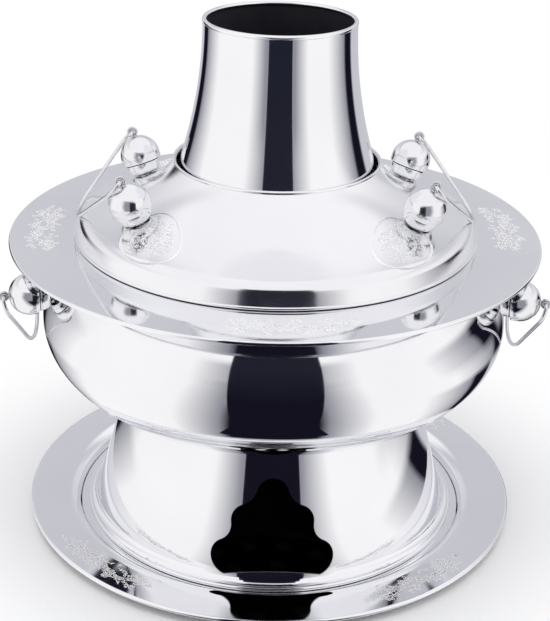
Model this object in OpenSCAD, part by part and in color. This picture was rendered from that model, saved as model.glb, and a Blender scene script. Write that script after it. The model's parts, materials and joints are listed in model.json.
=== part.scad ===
// Chimney hot pot in spun stainless steel: a ring-shaped soup bowl round a charcoal flue.
// It stands on a flared foot with a cloud-shaped draught hole, on a flat ash tray, and has
// a ring lid.  Lid and bowl each carry two pairs of ball knobs with a wire bail between.
// Millimetres, +Z up.  Origin: centre of the tray's underside.  The draught hole faces -Y.

/* [Ash tray] */
// Outer radius of the tray's rim
tray_r = 164.4; // [158:0.2:172]
// Height of the rim's top over the table
tray_h = 8; // [7.5:0.1:10]
// Radius where the flat rim ends and the bevel starts
tray_rim_in_r = 137.2; // [135.5:0.1:142]
// Radius at the foot of the bevel
tray_step_r = 132.8; // [131:0.1:134.5]
// Depth of the bevel below the rim
tray_step = 2.7; // [1.5:0.1:3.5]
// Radius of the flat floor
tray_floor_r = 129.4; // [128:0.1:130.5]
// Sheet of the tray
tray_wall = 0.8; // [0.6:0.1:1.2]
// Radius of the rolled bead round the rim
tray_bead = 1.6; // [1.2:0.1:2.2]

/* [Foot] */
// Radius of the foot under the bowl
foot_top_r = 95.6; // [93:0.1:98]
// Radius of the foot just above its flare
foot_low_r = 118.4; // [114:0.1:120]
// Height of the foot, tray floor to bowl floor
foot_h = 89; // [82:0.5:96]
// Radius of the flare between the cone and the hem
foot_flare = 7.5; // [5:0.5:9]
// Radius of the rolled hem that stands on the tray
foot_bead = 2.2; // [1.6:0.1:2.6]
// Sheet of the foot
foot_wall = 0.8; // [0.6:0.1:1.2]
// Width of the flange that the foot turns in under the bowl
foot_flange = 4; // [3:0.5:5]

/* [Draught hole] */
// Height of the hole's flat sill over the tray floor
vent_sill = 7.2; // [5:0.1:10]
// Radius of the top lobe
vent_top_r = 10; // [8:0.5:11.5]
// Height of the top lobe's centre over the sill
vent_top_z = 51.3; // [48:0.1:56]
// Radius of the two middle lobes
vent_mid_r = 11; // [9.5:0.5:12.5]
// Half the distance between the middle lobes' centres
vent_mid_x = 15; // [13:0.5:17]
// Height of the middle lobes' centres
vent_mid_z = 33.8; // [31:0.1:36]
// Radius of the two bottom lobes
vent_low_r = 11.4; // [11:0.1:13]
// Half the distance between the bottom lobes' centres
vent_low_x = 27.1; // [25:0.5:30]
// Height of the bottom lobes' centres
vent_low_z = 11; // [10:0.1:11]
// Radius of the hollow curve between top and middle lobe
vent_hollow_top = 14; // [11:0.5:18]
// Radius of the hollow curve between middle and bottom lobe
vent_hollow_low = 11; // [9:0.5:14]

/* [Bowl] */
// Radius of the bowl at its widest
bowl_r = 150.8; // [146:0.2:154]
// Radius where the flat floor turns up
bowl_floor_r = 90; // [89:0.5:92]
// Height of the widest girth over the bowl's underside
bowl_girth_h = 50; // [46:0.5:54]
// Height of the brim's top over the widest girth
bowl_brim_h = 55; // [53:0.5:57]
// Radius of the turn from wall to brim
bowl_turn = 2.5; // [2:0.1:4]
// Outer radius of the brim
brim_r = 170; // [166:0.5:174]
// Radius of the rolled bead round the brim
brim_bead = 1.3; // [1:0.1:1.8]
// Sheet of the bowl
bowl_wall = 0.9; // [0.7:0.1:1.3]

/* [Chimney] */
// Outer radius of the flue at its top
flue_top_r = 47.4; // [44:0.2:50]
// Outer radius of the fire tube at the bowl floor
flue_base_r = 86.4; // [84:0.2:87.5]
// Height of the chimney over the bowl floor
flue_h = 240.4; // [225:0.5:260]
// Height of the inflection of its S-curve over the bowl floor
flue_bend_h = 151; // [140:1:165]
// Radius of the rolled lip
flue_bead = 1.7; // [1.3:0.1:2.2]
// Sheet of the chimney
flue_wall = 0.8; // [0.6:0.1:1.2]
// Width of the flange that is seamed to the bowl floor
flue_flange = 3; // [2:0.5:3.5]

/* [Fire grate] */
// Play between the grate and the fire tube
grate_play = 1.2; // [0.5:0.1:3]
// Thickness of the grate plate
grate_t = 2; // [1.5:0.1:3]
// Diameter of a draught hole in the grate
grate_hole_d = 13; // [8:0.5:15]
// Radius of the inner ring of holes
grate_ring_1 = 42; // [36:0.5:46]
// Holes in the inner ring
grate_n_1 = 8; // [5:1:10]
// Radius of the outer ring of holes
grate_ring_2 = 68; // [64:0.5:72]
// Holes in the outer ring
grate_n_2 = 16; // [10:1:20]
// Height of the lugs' ledge over the bowl's underside
lug_z = 3.2; // [2.5:0.1:6]
// Number of lugs under the grate
lug_n = 4; // [3:1:6]
// Thickness of a lug's ledge
lug_t = 1.2; // [1:0.1:1.6]
// Thickness of the part of a lug that is riveted to the tube
lug_wall = 0.7; // [0.5:0.1:0.8]
// Length of a lug's ledge
lug_reach = 9; // [6:0.5:12]
// Angle that a lug spans
lug_angle = 9; // [6:1:14]

/* [Ring lid] */
// Gap between the chimney and the edge of the lid's hole
lid_mouth_gap = 3.1; // [2:0.1:5]
// Height of the hole's edge over the brim
lid_h = 47.8; // [44:0.1:52]
// Radius where the slope ends and the shoulder starts
lid_slope_r = 119.5; // [117:0.5:121]
// Height of the slope's end over the brim
lid_slope_h = 15; // [13:0.1:17]
// Radius of the shoulder's bend
lid_shoulder = 8.5; // [6:0.5:9.5]
// Angle of the band from the vertical
lid_band_lean = 15; // [8:1:20]
// Radius of the hem's bead
lid_bead = 1.4; // [1:0.1:1.8]
// Radius of the rolled edge of the hole
lid_lip = 0.9; // [0.7:0.1:1.3]
// Sheet of the lid
lid_wall = 0.8; // [0.6:0.1:1.2]

/* [Ball knobs] */
// Diameter of a ball
ball_d = 26; // [22:0.5:28]
// Length of a ball from base to tip
ball_len = 25.2; // [23:0.2:27]
// Height of the seam over the base
ball_seam = 7.4; // [6:0.2:9]
// Radius of a ball's flat base
ball_base_r = 7.5; // [6.5:0.1:8.5]
// Sheet of a ball
ball_wall = 1; // [0.7:0.1:1.4]
// Radius of the screw stock of an eye bolt
stud_r = 2; // [1.7:0.1:2.4]
// Play between an eye bolt and the holes it passes through
stud_play = 0.1; // [0.05:0.05:0.2]
// Middle radius of an eye's ring
eye_r = 2.5; // [2.4:0.1:3]
// Radius of the ring's wire
eye_wire = 0.95; // [0.8:0.05:1.1]
// Height of the ring's centre over the ball's tip
eye_rise = 3; // [2.8:0.1:3.6]
// Radius of the spacers and bosses
spacer_r = 5; // [4.5:0.5:6]
// Distance from the lid's centre to a knob
lid_knob_r = 96.8; // [92:0.2:101]
// Angle of the lid's knobs off the X axis
lid_knob_angle = 27.4; // [24:0.2:31]
// Thickness of the lid's spacers
lid_spacer = 0.5; // [0.4:0.1:1]
// Height of the bowl's knobs over the widest girth
bowl_knob_z = 27.6; // [22:0.2:32]
// Angle of the bowl's knobs off the X axis
bowl_knob_angle = 16.9; // [15:0.1:20]
// Gap between the bowl's wall and a ball where they come nearest
bowl_knob_gap = 0.3; // [0.2:0.1:1]

/* [Bails] */
// Radius of the bail wire
bail_wire = 1.2; // [1:0.05:1.25]
// Reach of a bail from its pins to its crown
bail_drop = 50; // [47:0.5:52]
// Distance from the pins at which a bail starts to narrow
bail_waist = 9; // [8.5:0.5:11]
// Radius of the bend between leg and crown
bail_knee = 12; // [8:1:13]
// Radius of the small bends at the eyes
bail_hook = 2.6; // [2.2:0.1:3]
// Angle by which the bowl's bails lean in from plumb
bowl_bail_lean = 12; // [0:1:21]

/* [Fasteners] */
// Width of a nut across its flats
nut_af = 7; // [6:0.5:8]
// Thickness of a nut
nut_t = 3.2; // [2.5:0.1:4]
// Radius of a washer
washer_r = 4.5; // [4:0.1:5]
// Thickness of a washer
washer_t = 0.8; // [0.5:0.1:1]

/* [Seats] */
// Gap between pieces that only rest on each other
seat_gap = 0.25; // [0.1:0.05:0.3]
// Gap between a curved wall and what is fitted to it
fit_gap = 0.05; // [0.02:0.01:0.1]

/* [Hidden] */
$fn = 96;
SIDES = [["left", 180], ["right", 0]];

// Levels, from the table up
floor_z = tray_wall;
hem_z = floor_z + seat_gap;
bowl_z = hem_z + foot_h;
girth_z = bowl_z + bowl_girth_h;
brim_z = girth_z + bowl_brim_h;
flue_z = bowl_z + bowl_wall;
flue_top_z = flue_z + flue_h;
lid_z = brim_z + seat_gap;
tube_in_r = flue_base_r - flue_wall;

// ---- curves -------------------------------------------------------------------------

function last(v) = v[len(v) - 1];
function flip(v) = [for (i = [len(v) - 1:-1:0]) v[i]];
function unit(v) = v / norm(v);
function polar(c, r, a) = [c[0] + r * cos(a), c[1] + r * sin(a)];
function angle_to(a, b) = atan2(b[1] - a[1], b[0] - a[0]);

// Points along an arc, end points included
function arc(c, r, a0, a1, n) = [for (i = [0:n]) polar(c, r, a0 + (a1 - a0) * i / n)];

// Points along a part of an ellipse
function oval(c, rx, ry, a0, a1, n) =
    [for (i = [0:n]) let (a = a0 + (a1 - a0) * i / n) [c[0] + rx * cos(a), c[1] + ry * sin(a)]];

// Point on a cubic curve with four control points
function cubic(p, u) = pow(1 - u, 3) * p[0] + 3 * pow(1 - u, 2) * u * p[1]
    + 3 * (1 - u) * pow(u, 2) * p[2] + pow(u, 3) * p[3];

// Direction of the cubic at u
function cubic_way(p, u) = unit(pow(1 - u, 2) * (p[1] - p[0])
    + 2 * (1 - u) * u * (p[2] - p[1]) + pow(u, 2) * (p[3] - p[2]));

// u at which the cubic has the given first coordinate, by halving
function cubic_find(p, x, lo = 0, hi = 1, n = 30) = let (u = (lo + hi) / 2)
    n == 0 ? u : (cubic(p, u)[0] < x ? cubic_find(p, x, u, hi, n - 1) : cubic_find(p, x, lo, u, n - 1));

// A path moved sideways by w, to the left of its direction
function side_step(p, w) = [for (i = [0:len(p) - 1]) let (
        a = unit(p[min(i + 1, len(p) - 1)] - p[min(i, len(p) - 2)]),
        b = unit(p[max(i, 1)] - p[max(i - 1, 0)]),
        m = unit(a + b),
        s = w / max(0.5, m * a)
    ) p[i] + s * [-m[1], m[0]]];

// Sheet of thickness w spun from a path of its outer face; the sheet lies left of the path
module spun(path, w) {
    rotate_extrude() polygon(concat(path, flip(side_step(path, w))));
}

// Rolled wire edge: a ring of round section
module bead(r, z, b) {
    translate([0, 0, z]) rotate_extrude() translate([r, 0]) circle(r = b, $fn = 24);
}

// ---- ash tray -----------------------------------------------------------------------

tray_wall_foot = tray_floor_r;
tray_path = [
    [0, 0],
    [tray_wall_foot, 0],
    [tray_step_r, tray_h - tray_step - tray_wall],
    [tray_rim_in_r, tray_h - tray_wall],
    [tray_r - tray_bead, tray_h - tray_wall]
];

module base_tray() {
    color("lightsteelblue") union() {
        spun(tray_path, tray_wall);
        bead(tray_r - tray_bead, tray_h - tray_bead, tray_bead);
    }
}

// ---- foot with its cloud-shaped draught hole -----------------------------------------

// Centre of the hollow curve of radius f that touches two lobes, on their outer side
function hollow_centre(a, ra, b, rb, f) = let (
        d = norm(b - a),
        u = ((ra + f) * (ra + f) - (rb + f) * (rb + f) + d * d) / (2 * d),
        v = sqrt((ra + f) * (ra + f) - u * u),
        e = (b - a) / d
    ) a + u * e + v * [-e[1], e[0]];

// The hollow curve itself, from lobe a to lobe b round its centre c
function hollow(a, b, c, f) = arc(c, f, angle_to(c, a), angle_to(c, a) + acos(unit(a - c) * unit(b - c)), 6);

vent_top = [0, vent_top_z];
vent_mid = [vent_mid_x, vent_mid_z];
vent_low = [vent_low_x, vent_low_z];
vent_c1 = hollow_centre(vent_top, vent_top_r, vent_mid, vent_mid_r, vent_hollow_top);
vent_c2 = hollow_centre(vent_mid, vent_mid_r, vent_low, vent_low_r, vent_hollow_low);

// Right half of the outline, from the crown down to the sill
vent_half = concat(
    arc(vent_top, vent_top_r, 90, angle_to(vent_top, vent_c1), 6),
    hollow(vent_top, vent_mid, vent_c1, vent_hollow_top),
    arc(vent_mid, vent_mid_r, angle_to(vent_mid, vent_c1), angle_to(vent_mid, vent_c2), 7),
    hollow(vent_mid, vent_low, vent_c2, vent_hollow_low),
    arc(vent_low, vent_low_r, angle_to(vent_low, vent_c2), -asin(vent_low_z / vent_low_r), 12)
);

module vent_outline() {
    polygon(concat(vent_half, flip([for (p = vent_half) if (p[0] > 0.01) [-p[0], p[1]]])));
}

foot_bead_z = hem_z + foot_bead;
foot_corner = 2;
foot_low_z = foot_bead_z + foot_flare * 0.83;
foot_lean = atan((foot_low_r - foot_top_r) / (bowl_z - foot_corner - foot_low_z));
foot_flare_c = [foot_low_r, foot_low_z] + foot_flare * [cos(foot_lean), sin(foot_lean)];
foot_path = concat(
    [[foot_top_r - foot_flange, bowl_z]],
    arc([foot_top_r - foot_corner, bowl_z - foot_corner], foot_corner, 90, foot_lean, 5),
    arc(foot_flare_c, foot_flare, 180 + foot_lean, 250, 5)
);

module foot() {
    color("silver") difference() {
        union() {
            spun(flip(foot_path), foot_wall);
            bead(last(foot_path)[0] + foot_bead * 0.4, foot_bead_z, foot_bead);
        }
        translate([0, 0, floor_z + vent_sill]) rotate([90, 0, 0])
            linear_extrude(brim_r) vent_outline();
    }
}

// ---- bowl with its brim ---------------------------------------------------------------

bowl_a = bowl_r - bowl_floor_r;
brim_under = brim_z - bowl_wall;

// Angle at which the turn into the brim starts
turn_t = asin((brim_under - girth_z - bowl_turn) / (bowl_a + bowl_turn));
turn_c = polar([bowl_floor_r, girth_z], bowl_a + bowl_turn, turn_t);

bowl_path = concat(
    [[tube_in_r, bowl_z]],
    oval([bowl_floor_r, girth_z], bowl_a, bowl_girth_h, -90, 0, 22),
    arc([bowl_floor_r, girth_z], bowl_a, turn_t / 14, turn_t, 13),
    arc(turn_c, bowl_turn, turn_t - 180 - 18, -270, 7),
    [[brim_r - brim_bead, brim_under]]
);

// Radius of the bowl's outer face at a height above its widest girth
function bowl_r_at(z) = bowl_floor_r + sqrt(bowl_a * bowl_a - (z - girth_z) * (z - girth_z));

module bowl() {
    color("gainsboro") union() {
        spun(bowl_path, bowl_wall);
        bead(brim_r - brim_bead, brim_z - brim_bead, brim_bead);
    }
}

// ---- chimney: fire tube and flue, one spun piece --------------------------------------

flue_sweep = (flue_base_r - flue_top_r) / (flue_h * flue_h);
flue_k_top = flue_sweep * flue_h / (flue_h - flue_bend_h);
flue_k_low = flue_sweep * flue_h / flue_bend_h;

// Radius of the outer face at a height over the bowl floor: two parabolas that meet smoothly
function flue_r(h) = h > flue_bend_h
    ? flue_top_r + flue_k_top * pow(flue_h - h, 2)
    : flue_base_r - flue_k_low * h * h;

flue_steps = 36;
flue_path = [for (i = [0:flue_steps]) let (h = flue_wall + (flue_h - flue_wall) * i / flue_steps)
    [flue_r(h), flue_z + h]];

module chimney() {
    flange = [
        [tube_in_r, flue_z],
        [flue_base_r + flue_flange, flue_z],
        [flue_base_r + flue_flange, flue_z + flue_wall]
    ];
    color("whitesmoke") union() {
        rotate_extrude()
            polygon(concat(flange, flue_path, flip([for (p = flue_path) p - [flue_wall, 0]])));
        bead(flue_top_r - flue_wall / 2, flue_top_z, flue_bead);
    }
}

// ---- fire grate on its lugs -------------------------------------------------------------

lug_ledge_z = bowl_z + lug_z;

module fire_grate() {
    rings = [[0, 1], [grate_ring_1, grate_n_1], [grate_ring_2, grate_n_2]];
    color("dimgray") translate([0, 0, lug_ledge_z]) difference() {
        cylinder(r = tube_in_r - grate_play, h = grate_t);
        for (ring = rings, i = [0:ring[1] - 1])
            rotate(90 - 11 + 360 * i / ring[1]) translate([ring[0], 0, -1])
                cylinder(d = grate_hole_d, h = grate_t + 2, $fn = 32);
    }
}

// Angle lugs inside the fire tube; the grate lies loose on their ledges
module grate_lugs() {
    rise = grate_t + 3;
    back_r = flue_r(lug_z + rise) - flue_wall - fit_gap;
    lug_section = [
        [back_r - lug_reach, lug_ledge_z - lug_t],
        [back_r, lug_ledge_z - lug_t],
        [back_r, lug_ledge_z + rise],
        [back_r - lug_wall, lug_ledge_z + rise],
        [back_r - lug_wall, lug_ledge_z],
        [back_r - lug_reach, lug_ledge_z]
    ];
    color("gray") for (i = [0:lug_n - 1])
        rotate(45 - lug_angle / 2 + 360 * i / lug_n)
            rotate_extrude(angle = lug_angle) polygon(lug_section);
}

// ---- ring lid -----------------------------------------------------------------------------

lid_hole_r = flue_r(lid_z + lid_h - flue_z) + lid_mouth_gap;
lid_curve = [
    [lid_hole_r, lid_z + lid_h],
    [lid_hole_r + 6.4, lid_z + lid_h * 0.76],
    [lid_hole_r + 17.7, lid_z + lid_h * 0.465],
    [lid_slope_r, lid_z + lid_slope_h]
];
lid_slope_way = cubic_way(lid_curve, 1);
lid_slope_a = atan2(lid_slope_way[1], lid_slope_way[0]);
lid_shoulder_c = lid_curve[3] + lid_shoulder * [lid_slope_way[1], -lid_slope_way[0]];
lid_bead_z = lid_z + lid_bead;
lid_band_top = polar(lid_shoulder_c, lid_shoulder, lid_band_lean);
lid_band_foot = lid_band_top
    + (lid_band_top[1] - lid_bead_z) * [tan(lid_band_lean), -1];
lid_path = concat(
    [for (i = [0:20]) cubic(lid_curve, i / 20)],
    arc(lid_shoulder_c, lid_shoulder, lid_slope_a + 90 - 8, lid_band_lean, 9),
    [lid_band_foot]
);

module lid() {
    color("ghostwhite") difference() {
        union() {
            spun(flip(lid_path), lid_wall);
            bead(lid_band_foot[0], lid_bead_z, lid_bead);
            bead(lid_hole_r + lid_lip * 0.6, lid_z + lid_h, lid_lip);
        }
        for (s = SIDES, f = [-1, 1]) lid_knob_place(s[1], f)
            translate([0, 0, -10]) cylinder(r = stud_r + stud_play, h = 20, $fn = 32);
    }
}

// ---- ball knobs ---------------------------------------------------------------------------

ball_r = ball_d / 2;
ball_mid = ball_len - ball_r;

// Where a knob of the lid stands: on the slope, square to it
lid_knob_u = cubic_find(lid_curve, lid_knob_r);
lid_knob_p = cubic(lid_curve, lid_knob_u);
lid_knob_way = cubic_way(lid_curve, lid_knob_u);
lid_knob_lean = -atan2(lid_knob_way[1], lid_knob_way[0]);
lid_spacer_z = 0.15;
lid_seat = lid_spacer_z + lid_spacer;

// Where a knob of the bowl stands: level, on the wall above the widest girth
bowl_knob_h = girth_z + bowl_knob_z;
boss_bore_z = 1.3;

// side: 180 left, 0 right; f: -1 front, 1 back
module turn_to(side, f, a) {
    rotate(side == 180 ? 180 - f * a : f * a) children();
}

module lid_knob_place(side, f) {
    turn_to(side, f, lid_knob_angle)
        translate([lid_knob_p[0], 0, lid_knob_p[1]]) rotate([0, lid_knob_lean, 0]) children();
}

module bowl_knob_place(side, f) {
    turn_to(side, f, bowl_knob_angle)
        translate([bowl_r_at(bowl_knob_h), 0, bowl_knob_h]) rotate([0, 90, 0]) children();
}

ball_hole_r = stud_r + stud_play;
ball_tip_r = ball_hole_r * ball_r / (ball_r - ball_wall);
seam_r = ball_r - 0.7;
ball_cup = oval([ball_base_r, ball_seam - 0.8], seam_r - ball_base_r, ball_seam - 0.8, -72, 0, 6);

// Height of a bowl ball's base on its boss: the bulge of the wall below must clear the cup
bowl_seat = bowl_knob_gap + max([for (p = ball_cup)
    bowl_r_at(bowl_knob_h - p[0]) - bowl_r_at(bowl_knob_h) - p[1]]);

// Outer face of a ball, from the hole in its base to the hole in its tip.
// A cup with a rolled edge, a groove at the seam, then a short barrel and a dome.
ball_path = concat(
    [[ball_hole_r, 0], [ball_base_r, 0]],
    ball_cup,
    [[seam_r - 0.7, ball_seam - 0.3], [seam_r - 0.7, ball_seam + 0.1], [ball_r - 0.25, ball_seam + 0.4]],
    arc([0, ball_mid], ball_r, 0, acos(ball_tip_r / ball_r), 16)
);

module ball(mark) {
    color("silver") translate([0, 0, mark]) spun(ball_path, ball_wall);
}

// Eye bolt: stock from z0 up through the ball, and a ring whose hole lies along Y
module eyebolt(seat, z0, turn) {
    ring_z = seat + ball_len + eye_rise;
    color("lightgray") union() {
        translate([0, 0, z0]) cylinder(r = stud_r, h = seat + ball_len + 0.2 - z0, $fn = 32);
        translate([0, 0, ring_z]) rotate(turn) rotate([90, 0, 0]) rotate_extrude()
            translate([eye_r, 0]) circle(r = eye_wire, $fn = 20);
    }
}

// Turn that brings a ring's hole as near to the pin line as its leaning shank lets it
function ring_turn(side, f, a, lean) = (side == 180 ? f : -f) * atan(tan(a) * cos(lean));

module lid_eyebolt(side, f) {
    lid_knob_place(side, f) eyebolt(lid_seat, -lid_wall - washer_t - nut_t - 1.5,
        ring_turn(side, f, lid_knob_angle, lid_knob_lean));
}

module bowl_eyebolt(side, f) {
    bowl_knob_place(side, f) eyebolt(bowl_seat, boss_bore_z + 0.1,
        ring_turn(side, f, bowl_knob_angle, 90));
}

module lid_ball(side, f) {
    lid_knob_place(side, f) ball(lid_seat);
}

module bowl_ball(side, f) {
    bowl_knob_place(side, f) ball(bowl_seat);
}

// Spacer between the lid's slope and a ball
module lid_spacer_ring(side, f) {
    color("gray") lid_knob_place(side, f) translate([0, 0, lid_spacer_z]) difference() {
        cylinder(r = spacer_r, h = lid_spacer, $fn = 48);
        translate([0, 0, -1]) cylinder(r = ball_hole_r, h = lid_spacer + 2, $fn = 32);
    }
}

// Boss welded to the bowl's wall: its foot follows the curve of the wall
module bowl_boss_ring(side, f) {
    color("gray") difference() {
        bowl_knob_place(side, f) difference() {
            translate([0, 0, -6]) cylinder(r = spacer_r, h = 6 + bowl_seat, $fn = 48);
            translate([0, 0, boss_bore_z]) cylinder(r = ball_hole_r, h = 8, $fn = 32);
        }
        rotate_extrude($fn = 240) translate([bowl_floor_r, girth_z]) circle(r = bowl_a + fit_gap);
    }
}

module lid_washers() {
    color("darkgray") for (s = SIDES, f = [-1, 1]) lid_knob_place(s[1], f)
        translate([0, 0, -lid_wall - washer_t - fit_gap]) difference() {
            cylinder(r = washer_r, h = washer_t, $fn = 32);
            translate([0, 0, -1]) cylinder(r = ball_hole_r, h = 3, $fn = 32);
        }
}

module lid_nuts() {
    color("darkgray") for (s = SIDES, f = [-1, 1]) lid_knob_place(s[1], f)
        translate([0, 0, -lid_wall - washer_t - nut_t - fit_gap]) difference() {
            cylinder(d = nut_af / cos(30), h = nut_t, $fn = 6);
            translate([0, 0, -1]) cylinder(r = ball_hole_r, h = nut_t + 2, $fn = 32);
        }
}

// ---- bails ----------------------------------------------------------------------------------

eye_len = ball_len + eye_rise;

// Pin line of a lid bail: distance from the YZ plane, half its span, and height
lid_eye_r = lid_knob_p[0] + (eye_len + lid_seat) * sin(lid_knob_lean);
lid_pin = [
    lid_eye_r * cos(lid_knob_angle),
    lid_eye_r * sin(lid_knob_angle),
    lid_knob_p[1] + (eye_len + lid_seat) * cos(lid_knob_lean)
];

// Pin line of a bowl bail
bowl_eye_r = bowl_r_at(bowl_knob_h) + eye_len + bowl_seat;
bowl_pin = [bowl_eye_r * cos(bowl_knob_angle), bowl_eye_r * sin(bowl_knob_angle), bowl_knob_h];

// A lid bail lies on the lid's shoulder: its dip below level, from the triangle of
// pin line, crown and centre of the shoulder's bend
lid_bail_to_c = lid_shoulder_c - [lid_pin[0], lid_pin[2]];
lid_bail_off = lid_shoulder + bail_wire + seat_gap;
lid_bail_dip = -atan2(lid_bail_to_c[1], lid_bail_to_c[0])
    - acos((pow(norm(lid_bail_to_c), 2) + pow(bail_drop, 2) - pow(lid_bail_off, 2))
        / (2 * norm(lid_bail_to_c) * bail_drop));
bowl_bail_dip = 90 + bowl_bail_lean;

// Part of a bent wire: centre c in the bail's plane, bend radius r, from angle a0 over da
module wire_bend(c, r, a0, da) {
    translate([c[0], c[1], 0]) rotate(a0) rotate_extrude(angle = da)
        translate([r, 0]) circle(r = bail_wire, $fn = 20);
}

// Straight wire between two points of the bail's plane; its ends sit in the bends
module wire_run(p, q) {
    bite = 0.3;
    translate([p[0], p[1], 0]) rotate(angle_to(p, q)) rotate([0, 90, 0]) translate([0, 0, -bite])
        cylinder(r = bail_wire - 0.03, h = norm(q - p) + 2 * bite, $fn = 20);
}

// A bail in its own plane: x along the pins, y from the pins to the crown.
// Each side is a knee arm, a leg with its small bend, and the pin with its hooked end.
bail_slant = 45;
pin_half = eye_wire + 0.65;

// Radius of the crown that touches both slanting runs, for legs this far from the middle
function crown_r(leg_x) = (bail_waist + leg_x - bail_drop) / (1 / cos(bail_slant) - 1);

module bail_knee_arm(knee_c, crown_end) {
    wire_run(polar(knee_c, bail_knee, bail_slant), crown_end);
    wire_bend(knee_c, bail_knee, 0, bail_slant);
}

module bail_leg(leg_x, knee_c) {
    wire_run([leg_x, bail_hook], [leg_x, knee_c[1]]);
    wire_bend([leg_x - bail_hook, bail_hook], bail_hook, -90, 90);
}

module bail_pin(span) {
    wire_run([span - pin_half, 0], [span + pin_half, 0]);
    wire_bend([span - pin_half, bail_hook], bail_hook, 180, 90);
}

module bail_side(span, leg_x, crown_end) {
    knee_c = [leg_x - bail_knee, bail_waist - bail_knee * tan(bail_slant / 2)];
    union() {
        bail_knee_arm(knee_c, crown_end);
        bail_leg(leg_x, knee_c);
    }
    bail_pin(span);
}

module bail(span) {
    leg_x = span + pin_half + bail_hook;
    crown = crown_r(leg_x);
    crown_c = [0, bail_drop - crown];
    crown_end = polar(crown_c, crown, bail_slant);
    wire_bend(crown_c, crown, bail_slant, 180 - 2 * bail_slant);
    bail_side(span, leg_x, crown_end);
    mirror([1, 0, 0]) bail_side(span, leg_x, crown_end);
}

module bail_at(pin, dip, side) {
    color("lightgray") rotate(side) translate([pin[0], 0, pin[2]])
        rotate([0, dip, 0]) rotate([0, 0, -90]) bail(pin[1]);
}

// ---- assembly -----------------------------------------------------------------------------

base_tray();
foot();
bowl();
chimney();
fire_grate();
grate_lugs();
lid();
lid_spacer_ring(180, -1);  // lid_spacer_left_front
lid_spacer_ring(180, 1);  // lid_spacer_left_back
lid_spacer_ring(0, -1);  // lid_spacer_right_front
lid_spacer_ring(0, 1);  // lid_spacer_right_back
lid_ball(180, -1);  // lid_ball_left_front
lid_ball(180, 1);  // lid_ball_left_back
lid_ball(0, -1);  // lid_ball_right_front
lid_ball(0, 1);  // lid_ball_right_back
lid_eyebolt(180, -1);  // lid_eyebolt_left_front
lid_eyebolt(180, 1);  // lid_eyebolt_left_back
lid_eyebolt(0, -1);  // lid_eyebolt_right_front
lid_eyebolt(0, 1);  // lid_eyebolt_right_back
lid_washers();
lid_nuts();
bowl_boss_ring(180, -1);  // bowl_boss_left_front
bowl_boss_ring(180, 1);  // bowl_boss_left_back
bowl_boss_ring(0, -1);  // bowl_boss_right_front
bowl_boss_ring(0, 1);  // bowl_boss_right_back
bowl_ball(180, -1);  // bowl_ball_left_front
bowl_ball(180, 1);  // bowl_ball_left_back
bowl_ball(0, -1);  // bowl_ball_right_front
bowl_ball(0, 1);  // bowl_ball_right_back
bowl_eyebolt(180, -1);  // bowl_eyebolt_left_front
bowl_eyebolt(180, 1);  // bowl_eyebolt_left_back
bowl_eyebolt(0, -1);  // bowl_eyebolt_right_front
bowl_eyebolt(0, 1);  // bowl_eyebolt_right_back
bail_at(lid_pin, lid_bail_dip, 180);  // lid_bail_left
bail_at(lid_pin, lid_bail_dip, 0);  // lid_bail_right
bail_at(bowl_pin, bowl_bail_dip, 180);  // bowl_bail_left
bail_at(bowl_pin, bowl_bail_dip, 0);  // bowl_bail_right
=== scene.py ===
"""Looks of the chimney hot pot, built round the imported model's frame.

Every shape is in metres in that frame; sizes in the code are millimetres times MM.
"""

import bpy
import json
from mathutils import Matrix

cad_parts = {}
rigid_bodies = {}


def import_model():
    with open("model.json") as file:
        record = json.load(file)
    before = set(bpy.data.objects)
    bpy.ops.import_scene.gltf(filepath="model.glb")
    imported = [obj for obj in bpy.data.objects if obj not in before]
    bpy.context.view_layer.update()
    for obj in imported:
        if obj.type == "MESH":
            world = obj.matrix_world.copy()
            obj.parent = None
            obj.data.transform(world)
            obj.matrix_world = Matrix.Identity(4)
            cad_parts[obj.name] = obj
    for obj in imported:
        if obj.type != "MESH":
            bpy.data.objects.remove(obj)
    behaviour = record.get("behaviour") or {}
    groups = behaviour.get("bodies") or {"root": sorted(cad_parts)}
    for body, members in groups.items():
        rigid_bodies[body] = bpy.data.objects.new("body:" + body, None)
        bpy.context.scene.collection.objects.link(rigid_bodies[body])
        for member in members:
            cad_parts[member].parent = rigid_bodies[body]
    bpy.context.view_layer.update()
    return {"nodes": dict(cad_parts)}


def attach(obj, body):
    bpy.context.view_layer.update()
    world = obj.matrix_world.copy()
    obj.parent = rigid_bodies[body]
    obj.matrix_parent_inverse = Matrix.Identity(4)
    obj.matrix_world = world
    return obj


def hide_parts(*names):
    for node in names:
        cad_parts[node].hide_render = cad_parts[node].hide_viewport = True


bl_info = {
    "name": "Chimney hot pot",
    "version": (1, 0, 0),
    "blender": (4, 5, 0),
    "location": "3D View > Sidebar > Hot Pot",
    "description": "Builds the visible pieces of a spun steel hot pot round its packed frame",
    "category": "Object",
}

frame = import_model()

import json
from math import acos, asin, atan, atan2, cos, degrees, hypot, pi, radians, sin, sqrt, tan
from random import Random

import bmesh
import bpy
from mathutils import Euler, Matrix, Vector

MM = 0.001
SIDES = (("left", 180), ("right", 0))
ENDS = (("front", -1), ("back", 1))


# ---- sizes ------------------------------------------------------------------------------

def length(name, about, metres):
    return bpy.props.FloatProperty(name=name, description=about, default=metres,
                                   unit="LENGTH", subtype="DISTANCE")


def colour(name, about, default):
    return bpy.props.FloatVectorProperty(name=name, description=about, default=default,
                                         subtype="COLOR", min=0, max=1)


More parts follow.
